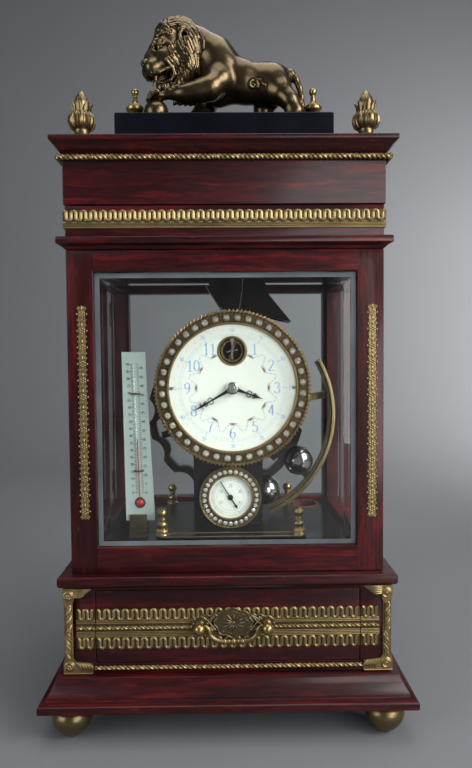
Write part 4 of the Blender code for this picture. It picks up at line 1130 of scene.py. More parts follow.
def build_hands():
    """Pointed hands with a pair of curls, and the domed cap with its screw."""
    for name, length, curl, degrees, tip in (
        ("minute", 44.0, 27.0, MINUTE_ANGLE, 1.9), ("hour", 32.0, 19.5, HOUR_ANGLE, 2.3),
    ):
        low, high = box_of(f"{name}_hand")
        ahead = clock_point((0.0, 0.0), 1.0, degrees)
        aside = Vector((ahead.y, -ahead.x))
        centre = Vector(DIAL_CENTRE)
        thick = high.y - low.y
        bm = bmesh.new()
        path = [centre + ahead * reach for reach in (3.4, 8.0, curl - 5.0, curl, curl + 3.0)]
        add_ribbon(bm, path, [4.2, 3.2, 1.7, 1.2, 1.5], low.y, thick)
        blade = [curl + 2.0, curl + 3.4, curl + 6.0, length - 4.0, length]
        path = [centre + ahead * reach for reach in blade]
        add_ribbon(bm, path, [0.8, tip * 1.5, tip * 1.2, tip * 0.6, 0.15], low.y, thick)
        for side in (-1, 1):
            for start, size in ((-4.2, 2.3), (1.9, 1.7)):
                points = []
                for i in range(15):
                    angle = math.radians(-60.0 + 260.0 * i / 14)
                    along = start + size * (1.0 - math.cos(angle)) * 0.9
                    away = size * (0.62 + 0.75 * math.sin(angle))
                    points.append(centre + ahead * (curl + along) + aside * side * max(0.3, away))
                add_ribbon(bm, points, 0.85, low.y + 0.1, thick - 0.2)
        bore = 1.7 if name == "minute" else 3.5
        boss = [(bore, low.y), (5.2, low.y), (5.2, high.y), (bore, high.y)]
        add_lathe(bm, boss, 32, DIAL_CENTRE, "y", True)
        piece(f"{name}_pointer", bm, BLACK_STEEL, name, "blued_steel", (f"{name}_hand",))
    y = box_of("minute_hand")[0].y
    bm = bmesh.new()
    cap = [(0.2, -1.5), (2.0, -1.5), (2.2, -1.1), (3.2, -1.2), (4.8, -1.0), (5.6, -0.4)]
    cap += [(5.7, -0.05), (0.2, -0.05)]
    add_lathe(bm, rounded(shifted(cap, 0.0, y), 3), 40, DIAL_CENTRE, "y")
    add_ribbon(bm, shifted([(-1.5, 0.8), (1.5, -0.8)], *DIAL_CENTRE), 0.5, y - 1.75, 0.4)
    piece("hand_cap", bm, NICKEL, "minute", "steel")


def build_barometer():
    low, high = box_of("barometer_case")
    centre = BAROMETER_CENTRE
    front = low.y
    outer = (high.x - low.x) / 2.0
    section = [(-9.7, 4.5), (-9.6, 1.6), (-9.0, 0.9), (-8.2, 1.2), (-7.7, 2.3), (-2.0, 2.3)]
    section += [(-1.5, 1.2), (-0.7, 0.9), (-0.1, 1.9), (-0.1, 5.8), (-2.3, 6.6)]
    section = shifted(section, outer, front)
    section += [(outer - 2.3, high.y), (outer - 5.5, high.y), (outer - 5.5, front + 4.5)]
    bm = bmesh.new()
    add_lathe(bm, section, 96, centre, "y", True)
    for count, inset, size in ((64, 0.9, 1.1), (72, 9.2, 1.0), (60, 2.4, 0.7)):
        add_beads(bm, centre, count, outer - inset, front + 1.4, size)
    piece("barometer_bezel", bm, BEZEL_BRASS, replaces=("barometer_case",))
    build_stones("barometer", centre, 30, outer - 4.9, 2.2, 0.0, front + 1.0, 12)
    y = box_of("barometer_dial")[0].y - 0.1
    bm = bmesh.new()
    for radius, width in ((18.6, 0.25), (16.2, 0.18), (13.6, 0.18)):
        add_circle_line(bm, centre, radius, width, y, 72)
    for k in range(61):
        degrees = -150.0 + 5.0 * k
        outer_end = 18.6 if k % 5 else 19.4
        points = [clock_point(centre, radius, degrees) for radius in (16.2, outer_end)]
        add_ribbon(bm, points, 0.22 if k % 5 else 0.4, y)
    for k, text in enumerate(("27", "28", "29", "30", "31")):
        add_number(bm, text, clock_point(centre, 11.0, -120.0 + 60.0 * k), 3.4, y, 0.14)
    piece("barometer_scale", bm, SCALE_BLUE, "case", "enamel")
    y = box_of("barometer_pointer")[0].y
    hub = shifted([(0.1, -0.8), (1.8, -0.6), (2.7, 0.0), (2.7, 0.3), (0.1, 0.3)], 0.0, y)
    turned_piece(
        "barometer_hub", hub, 24, centre, BLACK_STEEL, "y", body="pointer", slot="blued_steel"
    )


def build_thermometer():
    """Tube with its red bulb, two straps and two scales on the white plate."""
    low, high = box_of("thermometer_plate")
    face = low.y

    def on_plate(u, height):
        """Place on the plate, u across from its leaning centre line."""
        share = (height - low.z) / (high.z - low.z)
        lean = (THERMOMETER_HEAD - THERMOMETER_FOOT) * share
        return Vector((THERMOMETER_FOOT + lean + u, height))

    bulb = on_plate(0.4, low.z + 18.0)
    top = on_plate(0.4, high.z - 12.0)
    bm = bmesh.new()
    path = [(point.x, face - 1.3, point.y) for point in (bulb, (bulb + top) / 2.0, top)]
    add_tube(bm, path, 0.95, 12)
    piece("thermometer_tube", bm, GLASS, "case", "glass")
    bm = bmesh.new()
    add_ball(bm, (bulb.x, face - 1.5, bulb.y), 3.5, (1.0, 0.55, 1.0), 3)
    level = bulb.lerp(top, 0.46)
    add_tube(bm, [(bulb.x, face - 1.3, bulb.y), (level.x, face - 1.3, level.y)], 0.35, 8)
    piece("thermometer_spirit", bm, RED, "case", "thermometer_white")
    section = [(3.7, 0.0), (3.9, -1.0), (4.7, -1.3), (5.4, -0.7), (5.5, 0.1), (3.7, 0.1)]
    section = shifted(section, 0.0, face)
    turned_piece("bulb_rim", section, 40, bulb, RED_FELT, "y", True, slot="thermometer_white")
    bm = bmesh.new()
    for height in STRAP_HEIGHTS:
        middle = on_plate(0.4, low.z + height)
        rings = []
        for u, lift in ((-4.4, 0.1), (-2.0, 2.9), (2.0, 2.9), (4.4, 0.1)):
            section = ((lift, -0.9), (lift + 0.4, -0.9), (lift + 0.4, 0.9), (lift, 0.9))
            rings.append([(middle.x + u, face - out, middle.y + v) for out, v in section])
        add_rings(bm, rings)
        for u in (-4.6, 4.6):
            add_ball(bm, (middle.x + u, face - 0.2, middle.y), 1.0, (1.0, 0.7, 1.0), 1)
    piece("tube_straps", bm, DARK_BRASS, "case", "dark_brass")
    bm = bmesh.new()
    for side, count in ((-1, 90), (1, 72)):
        for k in range(count + 1):
            height = low.z + 28.0 + 128.0 * k / count
            reach = 3.6 if k % 10 == 0 else 2.8 if k % 5 == 0 else 2.1
            points = [on_plate(0.6 + side * u, height) for u in (1.9, 1.9 + reach)]
            add_ribbon(bm, points, 0.5, face - 0.1)
            if k % 5 == 0:
                add_number(bm, str(k), on_plate(0.6 + side * 6.6, height), 2.7, face - 0.1, 0.2)
    piece("thermometer_scales", bm, INK, "case", "thermometer_white")


# ---- movement ------------------------------------------------------------------------------------
def build_guard_rail():
    """Curved rail with a double bead on its front, its two arms and their lugs."""
    low, high = box_of("guard_rail")
    x, z = WHEEL_CENTRE
    front = low.y
    back = front + 14.0
    section = [(110.8, 14.0), (110.8, 2.4), (111.2, 1.6), (111.9, 1.5), (112.2, 3.6), (112.5, 3.6)]
    section += [(112.8, 0.7), (113.3, 0.1), (114.8, 0.0), (116.4, 0.2), (117.0, 1.0), (117.0, 14.0)]
    section = shifted(section, 0.0, front)
    rings = []
    for i in range(97):
        angle = math.radians(30.0 - 96.0 * i / 96)
        rings.append([(x + r * math.cos(angle), y, z + r * math.sin(angle)) for r, y in section])
    bm = bmesh.new()
    add_rings(bm, rings)
    for degrees in (10.0, -38.0):
        angle = math.radians(degrees)
        out = Vector((math.cos(angle), math.sin(angle)))
        side = Vector((-out.y, out.x))
        for start, end, near, far in (
            (9.0, 116.0, high.y - 3.5, high.y),
            (111.4, 116.0, back - 4.0, high.y - 1.0),
        ):
            rings = []
            for reach in (start, end):
                middle = Vector((x, z)) + out * reach
                first, second = middle - side * 4.0, middle + side * 4.0
                rings.append([(first.x, near, first.y), (second.x, near, second.y),
                              (second.x, far, second.y), (first.x, far, first.y)])
            add_rings(bm, rings)
    piece("ball_rail", bm, RAIL_BRASS, replaces=("guard_rail",))


def build_platform():
    low, high = box_of("platform")
    top = PLATFORM_TOP
    bm = bmesh.new()
    cut = 5.0
    left, right, near, far = low.x + cut, high.x - cut, low.y + cut, high.y - cut
    outline = [(left, low.y), (right, low.y), (high.x, near), (high.x, far)]
    outline += [(right, high.y), (left, high.y), (low.x, far), (low.x, near)]
    centre = Vector(((low.x + high.x) / 2.0, (low.y + high.y) / 2.0))
    rings = []
    for z, inset in ((low.z, 0.4), (low.z + 0.4, 0.0), (top - 0.5, 0.0), (top, 0.5)):
        ring = []
        for px, py in outline:
            out = (Vector((px, py)) - centre).normalized()
            ring.append((px - out.x * inset, py - out.y * inset, z))
        rings.append(ring)
    add_rings(bm, rings)
    piece("movement_base", bm, CHUTE_BRONZE, "case", "brass", ("platform",), 25.0)
    bm = bmesh.new()
    edge = [(low.x, near), (left, low.y), (right, low.y), (high.x, near)]
    add_tube(bm, [(px, py, top - 0.7) for px, py in edge], 0.6, 8)
    piece("base_edge", bm, RAIL_BRASS)
    knots = [(0.2, 0.0), (6.3, 0.0), (6.5, 1.2), (5.6, 2.4), (4.4, 3.2), (5.0, 5.0), (5.4, 7.0)]
    knots += [(4.4, 9.2), (2.8, 10.4), (2.7, 11.4), (3.8, 12.2), (3.6, 13.0), (2.6, 13.6)]
    knots += [(4.4, 15.4), (5.2, 18.2), (4.3, 21.0), (2.2, 22.8), (0.2, 23.3)]
    profile = shifted(rounded(knots, 4), 0.0, top)
    for corner in CORNERS:
        x = low.x + 6.0 if "left" in corner else high.x - 7.0
        y = low.y + 6.5 if "front" in corner else high.y - 6.5
        turned_piece(f"base_finial_{corner}", profile, 36, (x, y), PALE_BRASS)


def build_floor_panel():
    """Thin dark floor inside the glazed case with the ball hole and its red rim."""
    top = box_of("waist_board")[1].z
    hole, (half_x, half_y) = BALL_HOLE, FLOOR_HALF
    inner, outer = [], []
    for angle in angles(64, 0.5):
        cosine, sine = math.cos(angle), math.sin(angle)
        inner.append((hole[0] + BALL_HOLE_RADIUS * cosine, hole[1] + BALL_HOLE_RADIUS * sine))
        reach = min(
            (math.copysign(half_x, cosine) - hole[0]) / cosine,
            (math.copysign(half_y, sine) - hole[1]) / sine,
        )
        outer.append((hole[0] + reach * cosine, hole[1] + reach * sine))
    low, high = top + 0.02, top + 0.22
    rings = []
    for ring, z in ((outer, low), (outer, high), (inner, high), (inner, low)):
        rings.append([(x, y, z) for x, y in ring])
    bm = bmesh.new()
    add_rings(bm, rings, True)
    piece("case_floor", bm, FLOOR_BLACK, "case", "mahogany")
    section = [(-0.6, -8.0), (-0.6, 0.8), (0.8, 1.3), (2.6, 0.7), (2.8, 0.0)]
    section = shifted(section + [(-0.1, 0.0), (-0.1, -8.0)], BALL_HOLE_RADIUS, high)
    turned_piece("ball_hole_rim", section, 64, hole, RED_FELT, closed=True, slot="mahogany")


def build_balls():
    """Polished steel balls: one riding in the wheel, one about to leave it."""
    for node in ("steel_ball_1", "steel_ball_2"):
        low, high = box_of(node)
        centre, radius = (low + high) / 2.0, (high.x - low.x) / 2.0
        profile = []
        for i in range(41):
            angle = math.pi * (i / 40 - 0.5)
            height = centre.z + radius * math.sin(angle)
            profile.append((max(0.05, radius * math.cos(angle)), height))
        turned_piece(
            f"polished_{node}", profile, 72, centre, STEEL,
            body=BODY_OF[node], slot="steel", replaces=(node,),
        )


def build_glass_bevels():
    """Bevelled edge of the front pane as an opaque grey band round it: painted sheen for the light the
    bevelled glass catches.
    """
    low, high = box_of("front_glass")
    rings = []
    for inset, lift in ((0.3, -0.02), (GLASS_BEVEL, -0.14), (GLASS_BEVEL, -0.04), (0.3, 0.06)):
        y = low.y + lift
        left, right = low.x + inset, high.x - inset
        foot, head = low.z + inset, high.z - inset
        rings.append([(left, y, foot), (right, y, foot), (right, y, head), (left, y, head)])
    bm = bmesh.new()
    add_rings(bm, rings, True)
    piece("front_bevel", bm, BEVEL_SHEEN_GREY, "case", "glass")


def build_wire():
    """Thin trip wire in front of the chute."""
    bm = bmesh.new()
    top = box_of("ceiling_board")[0].z
    path = [(x, -36.0, top - drop) for x, drop in ((20.4, 0.1), (16.8, 24.0), (13.4, 46.6))]
    add_tube(bm, path, 0.45, 8)
    piece("trip_wire", bm, NICKEL, "case", "steel")


def add_leaf_hinge(bm, knuckle_axis, centre, odd, radius, plate, screws=()):
    """Half of a hinge: every other knuckle along an axis (0 or 2), plate and screw heads."""
    for k in range(5):
        if k % 2 == odd:
            ends = []
            for reach in (0.15, 5.45):
                end = list(centre)
                end[knuckle_axis] += 5.6 * k - 14.0 + reach
                ends.append(end)
            add_tube(bm, ends, radius, 14)
    add_box(bm, *plate)
    for place, squash in screws:
        add_ball(bm, place, 1.6, squash)


def build_hardware():
    """Hinges of the lid and the back door, and the door's knob."""
    low, high = box_of("back_door_frame")
    knots = [(0.2, 13.0), (3.0, 12.6), (5.4, 9.6), (5.0, 6.6), (2.6, 4.4), (2.6, 2.0), (5.4, 0.8)]
    profile = rounded(shifted(knots + [(5.4, 0.05), (0.2, 0.05)], 0.0, high.y), 4)
    centre = (high.x - 12.0, (low.z + high.z) / 2.0)
    turned_piece("door_knob", profile, 32, centre, PALE_BRASS, "y", body="back_door")
    rear, under = box_of("frieze_frame")[1].y, box_of("lid_box")[0].z
    y, z = LID_AXIS
    for number, x in (("left", -LID_HINGE_X), ("right", LID_HINGE_X)):
        bm = bmesh.new()
        plate = ((x - 14.0, rear + 0.02, z - 13.0), (x + 14.0, rear + 0.7, z - 1.7))
        screws = [((x + u, rear + 0.7, z - 7.5), (1.0, 0.3, 1.0)) for u in (-9.5, 9.5)]
        add_leaf_hinge(bm, 0, (x, y, z), 0, 1.1, plate, screws)
        piece(f"lid_hinge_{number}_lower", bm, CAST_BRASS)
        bm = bmesh.new()
        plate = ((x - 14.0, y + 1.4, under - 0.7), (x + 14.0, y + 8.6, under - 0.02))
        screws = [((x + u, y + 5.2, under - 0.7), (1.0, 1.0, 0.3)) for u in (-9.5, 9.5)]
        add_leaf_hinge(bm, 0, (x, y, z), 1, 1.1, plate, screws)
        piece(f"lid_hinge_{number}_upper", bm, CAST_BRASS, "lid")
    edge, rear = low.x, high.y
    for number, z in zip(("lower", "upper"), DOOR_HINGE_HEIGHTS):
        centre = (edge - 1.2, rear + 0.6, z)
        bm = bmesh.new()
        plate = ((edge - 0.9, rear - 33.0, z - 14.0), (edge - 0.02, rear - 20.4, z + 14.0))
        add_leaf_hinge(bm, 2, centre, 0, 1.7, plate)
        piece(f"door_hinge_{number}_fixed", bm, CAST_BRASS)
        bm = bmesh.new()
        plate = ((edge + 0.3, rear + 0.02, z - 14.0), (edge + 11.0, rear + 0.9, z + 14.0))
        add_leaf_hinge(bm, 2, centre, 1, 1.7, plate)
        piece(f"door_hinge_{number}_moving", bm, CAST_BRASS, "back_door")


# ---- lion ----------------------------------------------------------------------------------------
class Clay:
    """Solid kept as distances on a grid: parts are blended in, cut out, then skinned with quads."""

    def __init__(self, low, high, step):
        self.step = step
        self.axes = [np.arange(start, end, step) for start, end in zip(low, high)]
        self.field = np.full([len(axis) for axis in self.axes], 30.0)
        self.skin = self.field

    def near(self, low, high):
        """Slices of the grid inside a box, and the places there."""
        spans = []
        for axis, start, end in zip(self.axes, low, high):
            first, last = np.searchsorted(axis, (start, end))
            spans.append(slice(first, max(first + 1, last)))
        places = np.meshgrid(*(axis[span] for axis, span in zip(self.axes, spans)), indexing="ij")
        return tuple(spans), places

    def apply(self, span, distance, blend, cut):
        old = self.field[span]
        new = -distance if cut else distance
        overlap = np.maximum(blend - np.abs(old - new), 0.0) ** 2 / (4.0 * blend)
        self.field[span] = np.maximum(old, new) + overlap if cut else np.minimum(old, new) - overlap

    def limb(self, knots, blend=4.0, cut=False):
        """Tapering rounds along knots of (x, y, z, radius)."""
        knots = np.array(knots, float)
        if len(knots) == 1:
            knots = np.vstack((knots, knots + 0.001))
        for start, end in zip(knots, knots[1:]):
            reach = max(start[3], end[3]) + blend + 2.0 * self.step
            low = np.minimum(start[:3], end[:3]) - reach
            high = np.maximum(start[:3], end[:3]) + reach
            span, places = self.near(low, high)
            along = end[:3] - start[:3]
            offset = [place - value for place, value in zip(places, start[:3])]
            share = sum(part * value for part, value in zip(offset, along)) / max(1e-9, along @ along)
            share = np.clip(share, 0.0, 1.0)
            gap = sum((part - share * value) ** 2 for part, value in zip(offset, along))
            distance = np.sqrt(gap) - (start[3] + share * (end[3] - start[3]))
            self.apply(span, distance, blend, cut)

    def mass(self, centre, radii, blend=5.0, yaw=0.0, pitch=0.0, cut=False):
        """Ellipsoid turned about z by yaw and then about its own y by pitch, in degrees."""
        reach = max(radii) + blend + 2.0 * self.step
        span, places = self.near([c - reach for c in centre], [c + reach for c in centre])
        x, y, z = (place - value for place, value in zip(places, centre))
        turn = math.radians(yaw)
        x, y = x * math.cos(turn) + y * math.sin(turn), y * math.cos(turn) - x * math.sin(turn)
        turn = math.radians(pitch)
        x, z = x * math.cos(turn) + z * math.sin(turn), z * math.cos(turn) - x * math.sin(turn)
        first = np.sqrt(sum((part / r) ** 2 for part, r in zip((x, y, z), radii)))
        second = np.sqrt(sum((part / r**2) ** 2 for part, r in zip((x, y, z), radii))) + 1e-9
        self.apply(span, first * (first - 1.0) / second, blend, cut)

    def surface(self, x, z, side):
        """Depth of the stored skin at a place, met from the front (-1) or the rear (1)."""
        i = int(round((x - self.axes[0][0]) / self.step))
        k = int(round((z - self.axes[2][0]) / self.step))
        if not (0 <= i < len(self.axes[0]) and 0 <= k < len(self.axes[2])):
            return None
        inside = np.flatnonzero(self.skin[i, :, k] < 0.0)
        if not len(inside):
            return None
        return self.axes[1][inside[0] if side < 0 else inside[-1]]

    def lock(self, points, radii, side, blend=0.7, sink=0.3):
        """Strand of hair lying on the stored skin along (x, z) points."""
        knots = []
        for (x, z), radius in zip(points, radii):
            y = self.surface(x, z, side)
            if y is None:
                break
            knots.append((x, y - side * sink * radius, z, radius))
        if len(knots) > 1:
            self.limb(knots, blend)

    def mesh(self):
        """Vertices and quads of the zero surface, one vertex for each cell that it crosses."""
        field = self.field
        corners = {}
        for a in (0, 1):
            for b in (0, 1):
                for c in (0, 1):
                    corners[a, b, c] = field[a:field.shape[0] - 1 + a, b:field.shape[1] - 1 + b,
                                             c:field.shape[2] - 1 + c]
        count = sum((value < 0.0).astype(int) for value in corners.values())
        cells = np.argwhere((count > 0) & (count < 8))
        index = np.full(count.shape, -1)
        index[tuple(cells.T)] = np.arange(len(cells))
        total = np.zeros((len(cells), 3))
        weight = np.zeros((len(cells), 1))
        for corner, value in corners.items():
            for axis in range(3):
                if corner[axis]:
                    continue
                other = tuple(1 if i == axis else corner[i] for i in range(3))
                start = value[tuple(cells.T)]
                end = corners[other][tuple(cells.T)]
                crossed = ((start < 0.0) != (end < 0.0))[:, None]
                share = (start / np.where(start == end, 1.0, start - end))[:, None]
                place = np.array(corner, float) + share * np.eye(3)[axis]
                total += np.where(crossed, place, 0.0)
                weight += crossed
        origin = np.array([axis[0] for axis in self.axes])
        verts = origin + self.step * (cells + total / weight)
        quads = []
        for axis in range(3):
            first, second = [i for i in range(3) if i != axis]
            low = [slice(1, -1)] * 3
            low[axis] = slice(0, -1)
            high = list(low)
            high[axis] = slice(1, None)
            start, end = field[tuple(low)] < 0.0, field[tuple(high)] < 0.0
            edges = np.argwhere(start != end)
            out = start[tuple(edges.T)]
            base = edges + np.array([0 if i == axis else 1 for i in range(3)])
            ring = []
            for back_first, back_second in ((1, 1), (0, 1), (0, 0), (1, 0)):
                cell = base.copy()
                cell[:, first] -= back_first
                cell[:, second] -= back_second
                ring.append(index[tuple(cell.T)])
            ring = np.stack(ring, 1)
            flip = out if axis != 1 else ~out
            quads.append(np.where(flip[:, None], ring, ring[:, ::-1]))
        return verts, np.vstack(quads)


def relaxed(verts, quads, rounds, amount):
    """Moves each vertex part of the way to the middle of its neighbours."""
    edges = np.vstack([quads[:, [i, (i + 1) % 4]] for i in range(4)])
    edges = np.vstack((edges, edges[:, ::-1]))
    for _ in range(rounds):
        total = np.zeros_like(verts)
        np.add.at(total, edges[:, 0], verts[edges[:, 1]])
        count = np.bincount(edges[:, 0], minlength=len(verts))[:, None]
        verts = verts + amount * (total / count - verts)
    return verts


def head_place(forward, side, height):
    """Place given along and across the lion's head, which is turned a little to the front."""
    turn = math.radians(HEAD_TURN)
    x = HEAD_PIVOT[0] - forward * math.cos(turn) + side * math.sin(turn)
    return x, HEAD_PIVOT[1] - forward * math.sin(turn) - side * math.cos(turn), height


def head_limb(clay, knots, blend=2.0, cut=False, side=1):
    clay.limb([(*head_place(u, side * v, w), r) for u, v, w, r in knots], blend, cut)


def head_mass(clay, centre, radii, blend=3.0, pitch=0.0, cut=False):
    clay.mass(head_place(*centre), radii, blend, HEAD_TURN, pitch, cut)


def shape_body(clay):
    clay.mass((-6.0, 0.0, 624.0), (23.0, 19.0, 29.0))
    clay.limb([(-27.0, 0.0, 656.0, 19.5), (-10.0, 0.0, 645.5, 20.0), (8.0, 0.0, 627.5, 18.5)])
    clay.mass((24.0, 0.0, 618.5), (32.0, 17.0, 21.0), 8.0)
    clay.mass((48.0, 0.0, 619.5), (22.0, 16.5, 20.5), 9.0)
    clay.mass((-6.0, -12.0, 627.0), (14.0, 9.5, 21.0), 9.0, 0.0, -14.0)
    clay.mass((-8.0, 12.5, 626.0), (13.0, 9.0, 20.0), 5.0)
    clay.mass((20.0, -9.5, 621.0), (9.0, 7.5, 15.0), 9.0, 0.0, -10.0)
    foreleg = [(-5.0, -15.0, 616.0, 12.5), (-14.0, -20.0, 606.5, 11.0), (-26.0, -21.0, 603.0, 9.4)]
    foreleg += [(-38.0, -21.0, 601.0, 7.7), (-56.0, -21.0, 600.5, 5.4)]
    clay.limb(foreleg, 7.0)
    clay.mass((-65.0, -20.5, 598.6), (8.4, 6.8, 4.8), 3.0)
    for i in range(4):
        y = -27.2 + 4.4 * i
        reach = -1.0 if i in (0, 3) else 0.0
        toe = [(-66.0, y, 600.6, 2.5), (-72.5 - reach, y, 599.2, 2.7)]
        clay.limb(toe + [(-76.4 - reach, y, 594.2, 1.9)], 0.8)
    clay.limb([(-68.5, -17.0, 583.6, 12.4)], 0.8)
    far_arm = [(-12.0, 14.0, 614.0, 13.0), (-20.0, 17.0, 600.0, 10.0), (-34.0, 18.0, 587.0, 7.5)]
    clay.limb(far_arm + [(-46.0, 18.5, 582.0, 6.2)], 4.0)
    clay.mass((53.0, -9.0, 613.0), (13.0, 10.5, 19.5), 8.0, 0.0, 12.0)
    near_leg = [(58.5, -12.5, 606.0, 10.5), (66.0, -15.0, 596.0, 8.6), (72.0, -16.0, 585.0, 7.2)]
    clay.limb(near_leg + [(66.0, -17.0, 580.5, 5.4)], 6.0)
    clay.mass((47.0, 9.0, 611.0), (15.0, 9.5, 16.0))
    far_leg = [(42.0, 12.0, 601.0, 11.5), (41.0, 13.5, 590.0, 9.5), (38.0, 14.0, 582.0, 7.2)]
    clay.limb(far_leg + [(28.0, 15.0, 580.5, 5.2)], 4.0)
    tail = [(61.0, 0.0, 629.5, 6.2), (68.5, -1.0, 628.5, 4.4), (73.8, -2.0, 622.5, 3.4)]
    tail += [(77.4, -3.0, 614.0, 2.9), (79.2, -4.0, 604.0, 2.9), (79.4, -6.0, 595.0, 3.1)]
    clay.limb(tail + [(79.0, -9.0, 586.0, 3.4)], 2.0)


def shape_head(clay):
    clay.mass((-37.0, -2.0, 652.0), (16.5, 22.0, 28.0))
    clay.limb([(-38.0, -8.0, 630.0, 13.5), (-46.0, -9.0, 616.5, 8.5)], 5.0)
    clay.mass((-45.0, -4.0, 665.5), (15.0, 17.0, 16.0), 5.0)
    clay.mass((-41.0, 7.0, 668.0), (14.0, 14.0, 18.8), 5.0)
    head_mass(clay, (11.0, 0.0, 655.0), (17.0, 14.5, 17.0))
    head_mass(clay, (11.5, 0.0, 663.0), (15.5, 14.0, 15.0))
    head_limb(clay, [(22.0, 0.0, 652.0, 8.0), (32.0, 0.0, 637.0, 6.4)], 4.0)
    head_mass(clay, (27.0, 0.0, 629.5), (12.0, 9.5, 10.5))
    for side in (-1, 1):
        head_mass(clay, (30.5, side * 5.8, 626.0), (8.8, 6.8, 8.4), 1.6)
        head_mass(clay, (16.0, side * 9.0, 636.0), (12.5, 6.5, 11.5), 6.0)
    head_limb(clay, [(4.0, 0.0, 615.0, 9.0), (20.0, 0.0, 609.5, 6.0)], 3.0)
    head_mass(clay, (37.6, 0.0, 631.0), (4.4, 6.2, 4.0), 1.4)


def coil(size, fade, start, step):
    """Offsets (u, v) of a curl of hair that winds in."""
    points = []
    for i in range(15):
        angle, radius = start + step * i, size * (1.0 - fade * i)
        points.append((radius * math.cos(angle), radius * math.sin(angle)))
    return points


def shape_face(clay):
    """Open mouth with fangs, deep-set eyes, nostrils, ears and the curls of the forelock."""
    for side in (-1, 1):
        for u, w, radius in ((26.5, 615.6, 3.6), (21.0, 618.0, 5.2), (16.2, 620.8, 4.7)):
            head_limb(clay, [(u, radius + 2.0, w, radius), (u, 17.0, w, radius)], 1.0, True, side)
    head_mass(clay, (17.5, 0.0, 618.0), (9.5, 2.4, 7.0), 0.6)
    lip = [(33.0, 9.0, 619.0, 1.4), (26.0, 11.0, 620.0, 1.5), (19.0, 12.4, 624.6, 1.6)]
    lip += [(13.0, 13.2, 626.2, 1.8), (10.4, 12.8, 620.0, 1.7), (14.5, 10.4, 614.5, 1.5)]
    upper_lid = [(28.6, 3.8, 645.6, 1.0), (27.6, 7.6, 649.0, 1.3), (22.6, 12.2, 647.6, 1.2)]
    lower_lid = [(28.6, 4.4, 644.0, 0.9), (26.4, 9.0, 641.8, 1.1), (21.6, 12.2, 644.4, 1.0)]
    brow = [(30.0, 2.4, 648.0, 1.7), (28.4, 6.0, 651.6, 2.0), (22.6, 11.4, 652.0, 1.7)]
    ear, count = [], 14
    for i in range(count + 1):
        angle = math.radians(-60.0 + 300.0 * i / count)
        u, w = 2.4 - 3.9 * math.cos(angle), 657.5 + 6.2 * math.sin(angle)
        ear.append((u, 17.4 + 1.5 * math.sin(angle), w, 1.6))
    for side in (-1, 1):
        for knots, blend in (
            ([(28.5, 6.0, 620.0, 2.0), (28.0, 6.0, 613.0, 0.7)], 0.6),
            ([(24.0, 4.4, 613.0, 1.7), (24.6, 4.4, 618.5, 0.6)], 0.6),
            (lip + [(22.0, 6.6, 612.2, 1.3)], 1.0),
        ):
            head_limb(clay, knots, blend, False, side)
        head_mass(clay, (26.5, side * 9.4, 645.6), (5.6, 4.6, 3.8), 1.0, 0.0, True)
        for knots, blend, cut in (
            ([(24.4, 8.5, 645.4, 3.4)], 0.3, False),
            (upper_lid, 0.6, False),
            (lower_lid, 0.6, False),
            (brow + [(15.0, 13.6, 648.0, 1.2)], 3.4, False),
            ([(40.8, 3.4, 629.4, 1.5)], 0.6, True),
            ([(3.0, 14.0, 657.0, 4.6)], 1.5, False),
            (ear, 0.9, False),
            ([(2.0, 19.0, 657.2, 2.8)], 0.8, True),
        ):
            head_limb(clay, knots, blend, cut, side)
        for u, w, size, hand in (
            (19.5, 662.0, 4.8, 1), (27.0, 660.5, 3.6, -1), (12.0, 670.0, 4.6, 1),
            (20.5, 671.5, 3.9, -1), (12.5, 659.5, 3.2, 1),
        ):
            curl = []
            for across, above in coil(size, 0.058, hand * 0.6, hand * 0.62):
                x, _, z = head_place(u - across, side * 9.0, w + above)
                curl.append((x, z))
            clay.lock(curl, [1.35 - 0.03 * i for i in range(15)], -side, 0.4, -0.1)


def shape_mane(clay):
    """Long wavy locks that sweep back over the crown and down behind the cheek."""
    guides = (
        ((-55.0, 676.0), (-44.0, 679.0), (-33.0, 674.0), (-25.0, 664.0), (-21.0, 653.0), (-21.0, 643.0)),
        ((-53.0, 669.0), (-44.0, 671.5), (-35.0, 666.0), (-29.0, 656.0), (-26.5, 645.0), (-26.0, 635.0)),
        ((-43.0, 665.0), (-37.0, 660.0), (-33.0, 651.0), (-30.0, 641.0), (-28.0, 631.0), (-30.0, 622.0)),
        ((-45.0, 652.0), (-40.0, 644.0), (-36.0, 635.0), (-33.0, 625.0), (-34.0, 614.0)),
        ((-51.0, 646.0), (-46.0, 637.0), (-41.0, 628.0), (-38.0, 618.0), (-39.0, 608.0)),
        ((-54.0, 634.0), (-49.0, 627.0), (-45.0, 618.0), (-44.0, 607.0)),
        ((-58.0, 613.0), (-57.0, 608.0), (-54.0, 604.0)),
        ((-50.0, 613.0), (-49.0, 608.0), (-47.0, 604.0)),
    )
    for side in (-1, 1):
        for number, guide in enumerate(guides):
            for strand in (-1, 0, 1):
                add_strand(clay, guide, 3.1 * strand, number + 0.5 * strand, side)


def add_strand(clay, guide, offset, phase, side):
    """One strand beside a guide curve: it waves, thins towards its tip and turns up there."""
    knots = [Vector(knot) for knot in guide]
    length = sum((b - a).length for a, b in zip(knots, knots[1:]))
    path, radii, run = [], [], 0.0
    for start, end in zip(knots, knots[1:]):
        step = end - start
        across = Vector((-step.y, step.x)).normalized()
        for i in range(4):
            share = (run + step.length * i / 4) / length
            wave = 0.8 * math.sin(9.0 * share + phase)
            squeeze = 1.0 - 0.45 * share**2
            path.append(tuple(start.lerp(end, i / 4) + across * (offset * squeeze + wave)))
            radii.append(0.8 + 1.15 * math.sin(math.pi * min(1.0, 0.25 + 0.72 * share)) ** 0.6)
        run += step.length
    clay.lock(path, radii, side, 0.25, -0.25)


